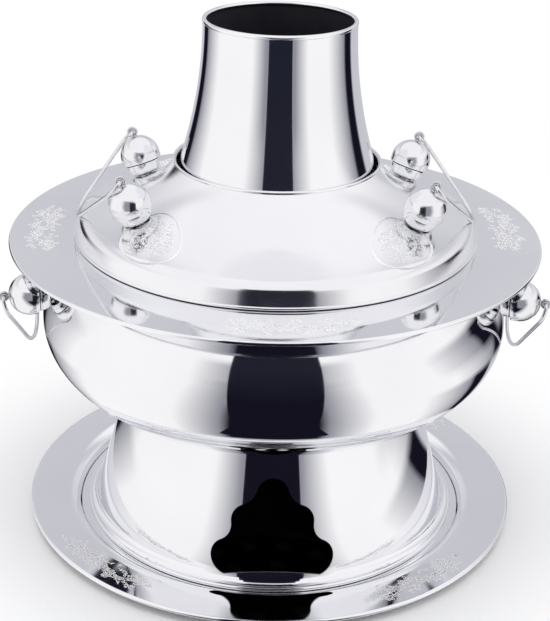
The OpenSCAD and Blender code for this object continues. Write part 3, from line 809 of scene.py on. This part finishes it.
def on_lid(lines, mid_r, azimuth, lift):
    """The motif on the lid's slope and shoulder, y running up the slope."""
    path = lid_path()
    length = [0.0]
    for a, b in zip(path, path[1:]):
        length.append(length[-1] + hypot(b[0] - a[0], b[1] - a[1]))
    raised = side_step(path, lift)
    start = next(s for s, p in zip(length, path) if p[0] >= mid_r)
    out = []
    for line in lines:
        out.append([])
        for x, y in line:
            s = min(max(start - y, 0), length[-1] - 1e-6)
            i = next(k for k in range(len(length) - 1) if length[k + 1] >= s)
            t = (s - length[i]) / (length[i + 1] - length[i])
            r = raised[i][0] + (raised[i + 1][0] - raised[i][0]) * t
            z = raised[i][1] + (raised[i + 1][1] - raised[i][1]) * t
            a = radians(azimuth) + x / mid_r
            out[-1].append((r * sin(a) * MM, -r * cos(a) * MM, z * MM))
    return out


def etched(name, lines):
    width = bpy.context.scene.hot_pot_sizes.etch_width
    return grown(lines_object(name, lines), wire_tree(), Radius=width / 2, Sides=6,
                 Flatness=0.12, Material=finish_of("etched_steel"))


# Directions in degrees, 0 at the front: friezes on brim and tray, badges and their twist on the lid.
BRIM_FRIEZES, BRIM_FRIEZE_R = (2.5, 93, 180, 271), 149.5
TRAY_FRIEZES, TRAY_FRIEZE_R = (-45.5, 38, 135, 218), 151
LID_BADGES, LID_BADGE_R = ((-47.5, 57), (46, -57), (134, 57), (226, -57)), 102.5
ETCH_LIFT = 0.01


# ---- operators -----------------------------------------------------------------------------------

class HOTPOT_OT_tray(bpy.types.Operator):
    """Ash tray: spun dish with a flat rim, a bevelled well and a rolled edge"""

    bl_idname = "hotpot.tray"
    bl_label = "Ash tray"

    def execute(self, context):
        r = context.scene.hot_pot_sizes.tray_radius / MM
        profiles = [sheet(tray_path(), TRAY_WALL), bead(r - TRAY_BEAD, TRAY_H - TRAY_BEAD, TRAY_BEAD)]
        tray = spun_piece("ash_tray", profiles, finish_of("sheet_steel"))
        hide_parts("base_tray")
        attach(tray, "tray")
        return {"FINISHED"}


def hollow_centre(a, ra, b, rb, f):
    d = hypot(b[0] - a[0], b[1] - a[1])
    u = ((ra + f) ** 2 - (rb + f) ** 2 + d * d) / (2 * d)
    v = sqrt((ra + f) ** 2 - u * u)
    ex, ey = (b[0] - a[0]) / d, (b[1] - a[1]) / d
    return (a[0] + u * ex - v * ey, a[1] + u * ey + v * ex)


def heading(a, b):
    return degrees(atan2(b[1] - a[1], b[0] - a[0]))


def hollow(a, b, c, f, n):
    start, end = heading(c, a), heading(c, b)
    return arc(c, f, start, start + (end - start) % 360, n)


def draught_outline():
    """Outline of the cloud-shaped hole over its sill, anticlockwise from the crown."""
    (top, top_r), (mid, mid_r), (low, low_r) = CLOUD_LOBES
    upper, lower = CLOUD_HOLLOWS
    c1 = hollow_centre(top, top_r, mid, mid_r, upper)
    c2 = hollow_centre(mid, mid_r, low, low_r, lower)
    half = (arc(top, top_r, 90, heading(top, c1), 12) + hollow(top, mid, c1, upper, 10)[1:]
            + arc(mid, mid_r, heading(mid, c1), heading(mid, c2), 14)[1:]
            + hollow(mid, low, c2, lower, 10)[1:]
            + arc(low, low_r, heading(low, c2), degrees(-asin(low[1] / low_r)), 20)[1:])
    sill = [(half[-1][0] * u, SILL_ARCH * (1 - u * u)) for u in (1 - i / 8 for i in range(1, 16))]
    return half + sill + [(-x, y) for x, y in half[::-1][:-1]]


def soot_inside(obj, low, high):
    """Gives the faces that look at the axis, between two heights, the fire side's finish."""
    obj.data.materials.append(finish_of("sooty_steel"))
    for polygon in obj.data.polygons:
        c, n = polygon.center, polygon.normal
        if n.x * c.x + n.y * c.y < -0.3 * hypot(c.x, c.y) and low < c.z / MM < high:
            polygon.material_index = len(obj.data.materials) - 1


def draught_cutter():
    outline = draught_outline()
    n = len(outline)
    verts = [(x * MM, y * MM, (z + SILL_Z) * MM) for y in (-60, -140) for x, z in outline]
    faces = [tuple(range(n)), tuple(range(2 * n - 1, n - 1, -1))]
    faces += [(i + n, (i + 1) % n + n, (i + 1) % n, i) for i in range(n)]
    cutter = mesh_object("draught_cutter", verts, faces)
    face_outward(cutter)
    return cutter


def cone_normals(mesh):
    """Normals of the uncut cone for the wall's faces, and flat ones elsewhere."""
    path = foot_path()
    normals = []
    for polygon in mesh.polygons:
        flat = polygon.normal
        for v in polygon.vertices:
            p = mesh.vertices[v].co
            r, z = hypot(p.x, p.y) / MM, p.z / MM
            k = min(range(1, len(path) - 1), key=lambda i: (path[i][0] - r) ** 2 + (path[i][1] - z) ** 2)
            d = Vector((path[k + 1][0] - path[k - 1][0], path[k + 1][1] - path[k - 1][1])).normalized()
            true = Vector((-d.y * p.x, -d.y * p.y, 0)) / (r * MM) + Vector((0, 0, d.x))
            if flat.dot(true) < 0:
                true = -true
            normals.append(true if flat.dot(true) > 0.96 and z > HEM_Z + 6 else flat)
    mesh.normals_split_custom_set(normals)


def show_cut_edge(mesh):
    """Gives the hole's narrow edge faces the finish of cut steel."""
    mesh.materials.append(finish_of("cut_edge"))
    for polygon in mesh.polygons:
        c, n = polygon.center, polygon.normal
        out = (n.x * c.x + n.y * c.y) / hypot(c.x, c.y)
        if abs(out) < 0.7 and abs(c.x) < 0.045 and c.y < -0.08 and abs(n.x) + abs(n.z) > 0.8:
            if HEM_Z + 5 < c.z / MM < BOWL_Z - 20:
                polygon.material_index = len(mesh.materials) - 1


def cut_draught_hole(foot):
    """Cuts the cloud through the front wall, which keeps the normals of a whole cone."""
    cutter = draught_cutter()
    cut = foot.modifiers.new("draught_hole", "BOOLEAN")
    cut.operation, cut.solver, cut.object = "DIFFERENCE", "EXACT", cutter
    made = foot.evaluated_get(bpy.context.evaluated_depsgraph_get())
    mesh = bpy.data.meshes.new_from_object(made)
    foot.modifiers.remove(cut)
    old, foot.data = foot.data, mesh
    bpy.data.meshes.remove(old)
    bpy.data.objects.remove(cutter)
    smooth(foot, 32)
    cone_normals(mesh)
    soot_inside(foot, HEM_Z + 3, BOWL_Z)
    show_cut_edge(mesh)


class HOTPOT_OT_foot(bpy.types.Operator):
    """Foot: flared cone with a rolled hem and the cloud-shaped draught hole"""

    bl_idname = "hotpot.foot"
    bl_label = "Foot"

    def execute(self, context):
        path = foot_path()
        foot = spun_piece("foot_wall", [sheet(path[::-1], FOOT_WALL)], finish_of("sheet_steel"))
        cut_draught_hole(foot)
        hem = spun_piece("foot_hem", [bead(path[-1][0] + FOOT_BEAD * 0.4, HEM_Z + FOOT_BEAD, FOOT_BEAD)],
                         finish_of("sheet_steel"))
        foot = joined(foot, hem)
        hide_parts("foot")
        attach(foot, "pot")
        return {"FINISHED"}


class HOTPOT_OT_bowl(bpy.types.Operator):
    """Bowl: round wall, narrow mouth and flat brim with a rolled edge"""

    bl_idname = "hotpot.bowl"
    bl_label = "Bowl"

    def execute(self, context):
        r = context.scene.hot_pot_sizes.brim_radius / MM
        profiles = [sheet(bowl_path(), BOWL_WALL),
                    bead(r - BRIM_BEAD - 0.03, BRIM_Z - BRIM_BEAD, BRIM_BEAD)]
        bowl = spun_piece("soup_bowl", profiles, finish_of("sheet_steel"))
        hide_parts("bowl")
        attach(bowl, "pot")
        return {"FINISHED"}


class HOTPOT_OT_chimney(bpy.types.Operator):
    """Chimney: fire tube and flue in one S-curved tube with a rolled lip"""

    bl_idname = "hotpot.chimney"
    bl_label = "Chimney"

    def execute(self, context):
        path = flue_path()
        inner = [(r - FLUE_WALL, z) for r, z in path][::-1]
        flange = [(TUBE_R, FLUE_Z), (FLUE_BASE_R + 3, FLUE_Z), (FLUE_BASE_R + 3, FLUE_Z + FLUE_WALL)]
        profiles = [flange + path + inner,
                    bead(FLUE_TOP_R + 0.4 - FLUE_BEAD, FLUE_Z + FLUE_H, FLUE_BEAD)]
        tube = spun_piece("flue_tube", profiles, finish_of("sheet_steel"))
        soot_inside(tube, FLUE_Z + 1, FLUE_Z + FLUE_H - 0.2)
        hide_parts("chimney")
        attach(tube, "pot")
        return {"FINISHED"}


class HOTPOT_OT_lid(bpy.types.Operator):
    """Ring lid: rolled hole edge, hollow slope, shoulder, band and hem"""

    bl_idname = "hotpot.lid"
    bl_label = "Ring lid"

    def execute(self, context):
        path = lid_path()
        profiles = [sheet(path[::-1], LID_WALL), bead(path[-1][0], LID_Z + LID_BEAD, LID_BEAD),
                    bead(LID_HOLE_R + 0.54, LID_Z + LID_H, LID_HOLE_BEAD, 14)]
        lid = spun_piece("ring_lid", profiles, finish_of("lid_steel"))
        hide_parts("lid")
        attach(lid, "lid")
        return {"FINISHED"}


def lined_up(on_lid, lift, turned=False):
    """Matrices of the four knobs of the lid or the bowl, lifted along their axes."""
    out = []
    angle, lean = (LID_KNOB_ANGLE, KNOB_LEAN) if on_lid else (BOWL_KNOB_ANGLE, 90)
    for _, side in SIDES:
        for _, end in ENDS:
            m = knob_matrix(on_lid, side, end) @ Matrix.Translation((0, 0, lift * MM))
            if turned:
                m = m @ Matrix.Rotation(radians(ring_turn(side, end, angle, lean)), 4, "Z")
            out.append(m)
    return out


def names_of(kind):
    return [f"{kind}_{side}_{end}" for side, _ in SIDES for end, _ in ENDS]


class HOTPOT_OT_balls(bpy.types.Operator):
    """Ball knobs: a dome seamed to a cup, four on the lid and four on the bowl"""

    bl_idname = "hotpot.balls"
    bl_label = "Ball knobs"

    def execute(self, context):
        ball_r = context.scene.hot_pot_sizes.ball_diameter / 2 / MM
        for on_lid, group, seat in ((True, "lid", LID_SEAT), (False, "bowl", BOWL_SEAT)):
            one = spun_piece("one_ball", [sheet(ball_path(ball_r), 1.0)], finish_of("ball_steel"), 96)
            # Faces of the seam groove, which get the black fire-side finish below: a painted shade line in
            # the groove.
            seam = one.data.attributes.new("seam", "BOOLEAN", "FACE")
            for polygon, item in zip(one.data.polygons, seam.data):
                c = polygon.center / MM
                item.value = BALL_SEAM - 0.55 < c.z < BALL_SEAM + 0.12 and hypot(c.x, c.y) < ball_r - 1.5
            balls = copies(f"{group}_balls", one, lined_up(on_lid, seat), finish_of("ball_steel"))
            # Painted shade: the marked groove faces take the black fire-side finish.
            balls.data.materials.append(finish_of("sooty_steel"))
            for polygon, item in zip(balls.data.polygons, balls.data.attributes["seam"].data):
                polygon.material_index = int(item.value)
            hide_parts(*names_of(f"{group}_ball"))
            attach(balls, "lid" if on_lid else "pot")
        return {"FINISHED"}


def eye_bolt(name, low, seat):
    """One eye bolt on its own axis: shank, collar on the ball's tip and round eye."""
    tip = seat + BALL_LEN
    shank = [(0, low), (STUD_R - 0.3, low), (STUD_R, low + 0.3), (STUD_R, tip - 0.4),
             (STUD_R - 0.5, tip + 0.2), (0, tip + 0.2)]
    verts, faces, _ = spin([shank], 40)
    base, n, m = len(verts), 44, 18
    for i in range(n):
        a = 2 * pi * i / n
        for j in range(m):
            b = 2 * pi * j / m
            r = EYE_R + EYE_WIRE * cos(b)
            verts.append((r * cos(a) * MM, EYE_WIRE * sin(b) * MM, (tip + EYE_RISE + r * sin(a)) * MM))
    for i in range(n):
        for j in range(m):
            p, q = base + i * m, base + (i + 1) % n * m
            k = (j + 1) % m
            faces.append((p + j, p + k, q + k, q + j))
    made = mesh_object(name, verts, faces)
    face_outward(made)
    smooth(made, 40)
    made.data.materials.append(finish_of("bolt_steel"))
    return made


class HOTPOT_OT_eyes(bpy.types.Operator):
    """Eye bolts: shank through each ball and the round eye that carries a bail"""

    bl_idname = "hotpot.eyes"
    bl_label = "Eye bolts"

    def execute(self, context):
        for on_lid, group, seat, low in ((True, "lid", LID_SEAT, -6.3), (False, "bowl", BOWL_SEAT, 1.4)):
            one = eye_bolt("one_eye", low, seat)
            eyes = copies(f"{group}_eyes", one, lined_up(on_lid, 0, True), finish_of("bolt_steel"))
            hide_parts(*names_of(f"{group}_eyebolt"))
            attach(eyes, "lid" if on_lid else "pot")
        return {"FINISHED"}


def pin_line(on_lid):
    """Distance out, half span and height of a pair of eyes."""
    if on_lid:
        r = KNOB_P[0] + (BALL_LEN + EYE_RISE + LID_SEAT) * sin(radians(KNOB_LEAN))
        z = KNOB_P[1] + (BALL_LEN + EYE_RISE + LID_SEAT) * cos(radians(KNOB_LEAN))
        a = radians(LID_KNOB_ANGLE)
    else:
        r, z = bowl_r_at(BOWL_KNOB_Z) + BALL_LEN + EYE_RISE + BOWL_SEAT, BOWL_KNOB_Z
        a = radians(BOWL_KNOB_ANGLE)
    return r * cos(a), r * sin(a), z


def bail_dip(on_lid):
    if not on_lid:
        return 90 + BOWL_BAIL_LEAN
    x, _, z = pin_line(True)
    dx, dz = SHOULDER_C[0] - x, SHOULDER_C[1] - z
    d, off = hypot(dx, dz), LID_SHOULDER + BAIL_WIRE + SEAT_GAP
    return -degrees(atan2(dz, dx)) - degrees(acos((d * d + BAIL_DROP ** 2 - off ** 2) / (2 * d * BAIL_DROP)))


def bail_line(span):
    """Centre line of a bail in its own plane, from one hooked end to the other."""
    pin = EYE_WIRE + BAIL_SIDE_GAP
    leg = span + pin + BAIL_HOOK
    crown = (BAIL_WAIST + leg - BAIL_DROP) / (1 / cos(radians(BAIL_SLANT)) - 1)
    knee_c = (leg - BAIL_KNEE, BAIL_WAIST - BAIL_KNEE * tan(radians(BAIL_SLANT / 2)))
    side = (arc((span - pin, BAIL_HOOK), BAIL_HOOK, 180, 270, 8)
            + arc((leg - BAIL_HOOK, BAIL_HOOK), BAIL_HOOK, -90, 0, 10)
            + arc(knee_c, BAIL_KNEE, 0, BAIL_SLANT, 14)
            + arc((0, BAIL_DROP - crown), crown, BAIL_SLANT, 90, 22))
    return side + [(-x, y) for x, y in side[::-1][1:]]


class HOTPOT_OT_bails(bpy.types.Operator):
    """Wire bails: two on the lid, two on the bowl, hooked through their eyes"""

    bl_idname = "hotpot.bails"
    bl_label = "Wire bails"

    def execute(self, context):
        radius = context.scene.hot_pot_sizes.wire_radius
        for on_lid, group in ((True, "lid"), (False, "bowl")):
            x, span, z = pin_line(on_lid)
            line = [Vector((a * MM, b * MM, 0)) for a, b in bail_line(span)]
            for side, turn in SIDES:
                place = (Matrix.Rotation(radians(turn), 4, "Z") @ Matrix.Translation((x * MM, 0, z * MM))
                         @ Matrix.Rotation(radians(bail_dip(on_lid)), 4, "Y")
                         @ Matrix.Rotation(radians(-90), 4, "Z"))
                name = f"{group}_bail_{side}"
                path = lines_object(f"{name}_wire", [[place @ p for p in line]])
                wire = grown(path, wire_tree(), Radius=radius, Sides=20, Flatness=1.0,
                             Material=finish_of("wire_steel"))
                smooth(wire, 60)
                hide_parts(name)
                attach(wire, name)
        return {"FINISHED"}


class HOTPOT_OT_small_parts(bpy.types.Operator):
    """Grate, lugs, bosses, spacers, washers and nuts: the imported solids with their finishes"""

    bl_idname = "hotpot.small_parts"
    bl_label = "Small parts"

    def execute(self, context):
        small = (names_of("bowl_boss") + names_of("lid_spacer") + ["lid_washers", "lid_nuts"])
        for name, finish in [(n, "bolt_steel") for n in small] + [("fire_grate", "fired_steel"),
                                                                  ("grate_lugs", "fired_steel")]:
            node = frame["nodes"][name]
            node.data.materials.clear()
            node.data.materials.append(finish_of(finish))
        return {"FINISHED"}


class HOTPOT_OT_ornament(bpy.types.Operator):
    """Etched ornament: friezes on brim and tray, oval badges on the lid"""

    bl_idname = "hotpot.ornament"
    bl_label = "Etched ornament"

    def execute(self, context):
        brim, tray, lid = [], [], []
        for seed, azimuth in enumerate(BRIM_FRIEZES):
            brim += on_flat(frieze(84, 23, seed), BRIM_FRIEZE_R, BRIM_Z + ETCH_LIFT, azimuth)
        for seed, azimuth in enumerate(TRAY_FRIEZES):
            tray += on_flat(frieze(86, 18, seed + 4), TRAY_FRIEZE_R, TRAY_H + ETCH_LIFT, azimuth)
        for seed, (azimuth, twist) in enumerate(LID_BADGES):
            lid += on_lid(medallion(18.8, 27.5, seed + 8, twist), LID_BADGE_R, azimuth, ETCH_LIFT)
        for name, lines, body in (("brim_etching", brim, "pot"), ("tray_etching", tray, "tray"),
                                  ("lid_etching", lid, "lid")):
            piece = etched(name, lines)
            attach(piece, body)
        return {"FINISHED"}


# ---- stage ---------------------------------------------------------------------------------------

DARK = (0.007, 0.0065, 0.014, 1)


def cool(v):
    """Grey of the studio, a little bluish between black and white."""
    return (v, v, v + 0.2 * v * (1 - v), 1)


def tones(*pairs):
    return tuple((a, cool(v) if v else DARK) for a, v in pairs)


# Half angles, in degrees: the dark card ahead, the grey beside it, a dark flag at the side, the
# soft edge of card and flag, and the grey between a flag and the white side of the room.
CARD, CARD_SHADE, FLAG, FLAG_EDGE, FLAG_SHADE = 17, 40, 7, 4, 35
SHADE = 0.3
BEHIND = 0.6


def walls(left, right, ahead):
    """Tones round the room, set as studio lighting: a card of the tone ahead, white sides with
    a dark flag at the directions left and right, and grey behind."""
    return tones((-180, BEHIND), (left - FLAG - FLAG_EDGE, BEHIND), (left - FLAG, 0), (left + FLAG, 0),
                 (left + FLAG + FLAG_EDGE, SHADE), (left + FLAG + FLAG_SHADE, 1),
                 (-CARD_SHADE, 1), (-CARD - FLAG_EDGE, SHADE), (-CARD, ahead),
                 (CARD, ahead), (CARD + FLAG_EDGE, SHADE), (CARD_SHADE, 1),
                 (right - FLAG - FLAG_SHADE, 1), (right - FLAG - FLAG_EDGE, SHADE),
                 (right - FLAG, 0), (right + FLAG, 0), (right + FLAG + FLAG_EDGE, BEHIND), (180, BEHIND))


ROOM = walls(-140, 115, SHADE)
TABLE_NEAR = walls(-130, 105, 0)
TABLE_FAR = walls(-140, 125, 0)
HIGH_ROOM = tones((-180, BEHIND), (-90, 1), (-CARD_SHADE, 1), (-CARD, SHADE), (CARD, SHADE), (CARD_SHADE, 1),
                  (90, 1), (180, BEHIND))
CEILING = tones((-180, BEHIND), (-150, BEHIND), (-60, 1), (60, 1), (150, BEHIND), (180, BEHIND))


def room_tone(s, x, y, stops):
    """Tone of the studio's walls in the direction x, y; 0 degrees is towards the camera."""
    turn = s.math("ARCTAN2", x, s.math("MULTIPLY", y, -1))
    place = s.node("ShaderNodeMapRange")
    place.inputs["From Min"].default_value = -pi
    place.inputs["From Max"].default_value = pi
    s.link(turn, place.inputs["Value"])
    return s.steps(place.outputs["Result"], *[(a / 360 + 0.5, v) for a, v in stops])


class HOTPOT_OT_stage(bpy.types.Operator):
    """Table top, studio light, a dark card for the metal, and the camera"""

    bl_idname = "hotpot.stage"
    bl_label = "Stage"

    def execute(self, context):
        self.floor(tuple(context.scene.hot_pot_finish.floor))
        self.card()
        self.light(context)
        self.camera(context)
        return {"FINISHED"}

    def floor(self, colour):
        size = 6.0
        floor = mesh_object("table_top", [(-size, -size, 0), (size, -size, 0), (size, size, 0),
                                          (-size, size, 0)], [(0, 1, 2, 3)])
        s = Shader("table_top")
        s.bsdf.inputs["Base Color"].default_value = colour + (1,)
        s.bsdf.inputs["Roughness"].default_value = 0.35
        s.bsdf.inputs["Specular IOR Level"].default_value = 0.25
        where = s.node("ShaderNodeTexCoord")
        away = s.node("ShaderNodeVectorMath", operation="LENGTH")
        s.link(where.outputs["Object"], away.inputs[0])
        fade, clear = (s.node("ShaderNodeMapRange", interpolation_type="SMOOTHSTEP") for _ in range(2))
        for ramp, start, end in ((fade, 0.175, 0.33), (clear, 0.165, 0.175)):
            ramp.inputs["From Min"].default_value = start
            ramp.inputs["From Max"].default_value = end
            s.link(away.outputs["Value"], ramp.inputs["Value"])
        parts = s.node("ShaderNodeSeparateXYZ")
        s.link(where.outputs["Object"], parts.inputs[0])
        # Painted reflection: past the tray, rays from the metal see the table glow in the studio's tones,
        # dark flags and card included.
        near, far, room = (room_tone(s, parts.outputs["X"], parts.outputs["Y"], stops)
                           for stops in (TABLE_NEAR, TABLE_FAR, ROOM))
        tone = s.mix(s.steps(away.outputs["Value"], (0.45, 0.0), (0.70, 1.0)),
                     s.mix(s.steps(away.outputs["Value"], (0.30, 0.0), (0.36, 1.0)), near, far), room)
        path = s.node("ShaderNodeLightPath")
        seen = s.math("MULTIPLY", path.outputs["Is Camera Ray"], fade.outputs["Result"])
        white = s.math("MULTIPLY_ADD", path.outputs["Is Glossy Ray"], clear.outputs["Result"], seen)
        glow = s.node("ShaderNodeEmission", Strength=1.0)
        s.link(s.mix(path.outputs["Is Camera Ray"], tone, (1, 1, 1, 1)), glow.inputs["Color"])
        blend = s.node("ShaderNodeMixShader")
        s.link(white, blend.inputs[0])
        s.link(s.bsdf.outputs[0], blend.inputs[1])
        s.link(glow.outputs[0], blend.inputs[2])
        s.link(blend.outputs[0], s.output.inputs["Surface"])
        floor.data.materials.append(s.material)

    def card(self):
        """Black card before the pot, bent out along the table; it shows in reflections only."""
        half, near, up = 0.0695, -0.25, 0.315
        rows = [(-0.176, 0.0005), (near + 0.006, 0.0005), (near, 0.006)]
        rows += [(near, 0.006 + (up - 0.006) * i / 24) for i in range(1, 25)]
        verts = [(x, y, z) for y, z in rows for x in (-half, half)]
        faces = [(2 * i, 2 * i + 1, 2 * i + 3, 2 * i + 2) for i in range(len(rows) - 1)]
        card = mesh_object("black_card", verts, faces)
        s = Shader("black_card")
        where = s.node("ShaderNodeTexCoord")
        parts = s.node("ShaderNodeSeparateXYZ")
        s.link(where.outputs["Object"], parts.inputs[0])
        glow = s.node("ShaderNodeEmission", Strength=1.0)
        s.link(s.steps(parts.outputs["Z"], (0.12, DARK), (0.22, (0.015, 0.016, 0.028, 1))),
               glow.inputs["Color"])
        s.link(glow.outputs[0], s.output.inputs["Surface"])
        card.data.materials.append(s.material)
        card.visible_camera = card.visible_diffuse = card.visible_shadow = False
        card.visible_transmission = card.visible_volume_scatter = False

    def light(self, context):
        """White world for the camera; polished metal sees the walls of a studio in it."""
        world = bpy.data.worlds.new("white_room")
        world.use_nodes = True
        s = Shader.on_tree(world.node_tree)
        s.tree.nodes.clear()
        way = s.node("ShaderNodeTexCoord")
        parts = s.node("ShaderNodeSeparateXYZ")
        s.link(way.outputs["Generated"], parts.inputs[0])
        low = room_tone(s, parts.outputs["X"], parts.outputs["Y"], ROOM)
        high = room_tone(s, parts.outputs["X"], parts.outputs["Y"], HIGH_ROOM)
        over = room_tone(s, parts.outputs["X"], parts.outputs["Y"], CEILING)
        bend = s.steps(parts.outputs["Z"], (0.42, 0.0), (0.52, 1.0))
        rise = s.steps(parts.outputs["Z"], (0.06, 0.0), (0.16, 1.0))
        top = s.steps(parts.outputs["Z"], (0.58, 0.0), (0.68, 1.0))
        walls = s.mix(top, s.mix(bend, s.mix(rise, low, high), over), (0.98, 0.98, 1.0, 1))
        path = s.node("ShaderNodeLightPath")
        metal = s.node("ShaderNodeBackground", Strength=1.0)
        s.link(walls, metal.inputs["Color"])
        room = s.node("ShaderNodeBackground", Color=(1, 1, 1, 1), Strength=0.75)
        backdrop = s.node("ShaderNodeBackground", Color=(1, 1, 1, 1), Strength=1.0)
        lit = s.node("ShaderNodeMixShader")
        s.link(path.outputs["Is Glossy Ray"], lit.inputs[0])
        s.link(room.outputs[0], lit.inputs[1])
        s.link(metal.outputs[0], lit.inputs[2])
        shown = s.node("ShaderNodeMixShader")
        s.link(path.outputs["Is Camera Ray"], shown.inputs[0])
        s.link(lit.outputs[0], shown.inputs[1])
        s.link(backdrop.outputs[0], shown.inputs[2])
        out = s.node("ShaderNodeOutputWorld")
        s.link(shown.outputs[0], out.inputs["Surface"])
        context.scene.world = world
        for name, place, size, power in (("soft_box_top", (0, 0.1, 1.7), 1.6, 12),
                                         ("soft_box_left", (-1.5, -0.5, 1.1), 1.2, 6),
                                         ("soft_box_right", (1.5, -0.5, 1.1), 1.2, 6)):
            data = bpy.data.lights.new(name, "AREA")
            data.energy, data.size = power, size
            lamp = bpy.data.objects.new(name, data)
            lamp.location = place
            aim = Vector((0, 0, 0.12)) - Vector(place)
            lamp.rotation_euler = aim.to_track_quat("-Z", "Y").to_euler()
            lamp.visible_glossy = False
            context.scene.collection.objects.link(lamp)

    def camera(self, context):
        data = bpy.data.cameras.new("camera")
        data.sensor_width, data.lens = 36.0, 84.635
        data.shift_x = 0.0021
        data.clip_start, data.clip_end = 0.05, 30
        cam = bpy.data.objects.new("camera", data)
        reach, height, aim_z, swing, roll = 0.8808, 0.5358, 0.1375, 1.3, 1.35
        place = Vector((-reach * sin(radians(swing)), -reach * cos(radians(swing)), height))
        way = Vector((0, 0, aim_z)) - place
        cam.location = place
        cam.rotation_mode = "QUATERNION"
        cam.rotation_quaternion = (way.to_track_quat("-Z", "Y")
                                   @ Euler((0, 0, radians(roll))).to_quaternion())
        context.scene.collection.objects.link(cam)
        context.scene.camera = cam
        context.scene.view_settings.view_transform = "Standard"


class HOTPOT_PT_panel(bpy.types.Panel):
    """Lists the hot pot's sizes, finishes and build steps"""

    bl_idname = "HOTPOT_PT_panel"
    bl_label = "Hot pot"
    bl_space_type = "VIEW_3D"
    bl_region_type = "UI"
    bl_category = "Hot Pot"

    def draw(self, context):
        for group in (context.scene.hot_pot_sizes, context.scene.hot_pot_finish):
            box = self.layout.box()
            for key in group.__annotations__:
                box.prop(group, key)
        for step in STEPS:
            self.layout.operator(step.bl_idname)


STEPS = (
    HOTPOT_OT_tray, HOTPOT_OT_foot, HOTPOT_OT_bowl, HOTPOT_OT_chimney, HOTPOT_OT_lid,
    HOTPOT_OT_balls, HOTPOT_OT_eyes, HOTPOT_OT_bails, HOTPOT_OT_small_parts,
    HOTPOT_OT_ornament, HOTPOT_OT_stage,
)
CLASSES = (HotPotSizes, HotPotFinish, *STEPS, HOTPOT_PT_panel)


def register():
    for c in CLASSES:
        bpy.utils.register_class(c)
    bpy.types.Scene.hot_pot_sizes = bpy.props.PointerProperty(type=HotPotSizes)
    bpy.types.Scene.hot_pot_finish = bpy.props.PointerProperty(type=HotPotFinish)


def unregister():
    del bpy.types.Scene.hot_pot_sizes
    del bpy.types.Scene.hot_pot_finish
    for c in reversed(CLASSES):
        bpy.utils.unregister_class(c)


def main():
    register()
    for step in STEPS:
        group, name = step.bl_idname.split(".")
        if getattr(getattr(bpy.ops, group), name)() != {"FINISHED"}:
            raise RuntimeError(f"{step.bl_label} did not finish")


if __name__ == "__main__":
    main()
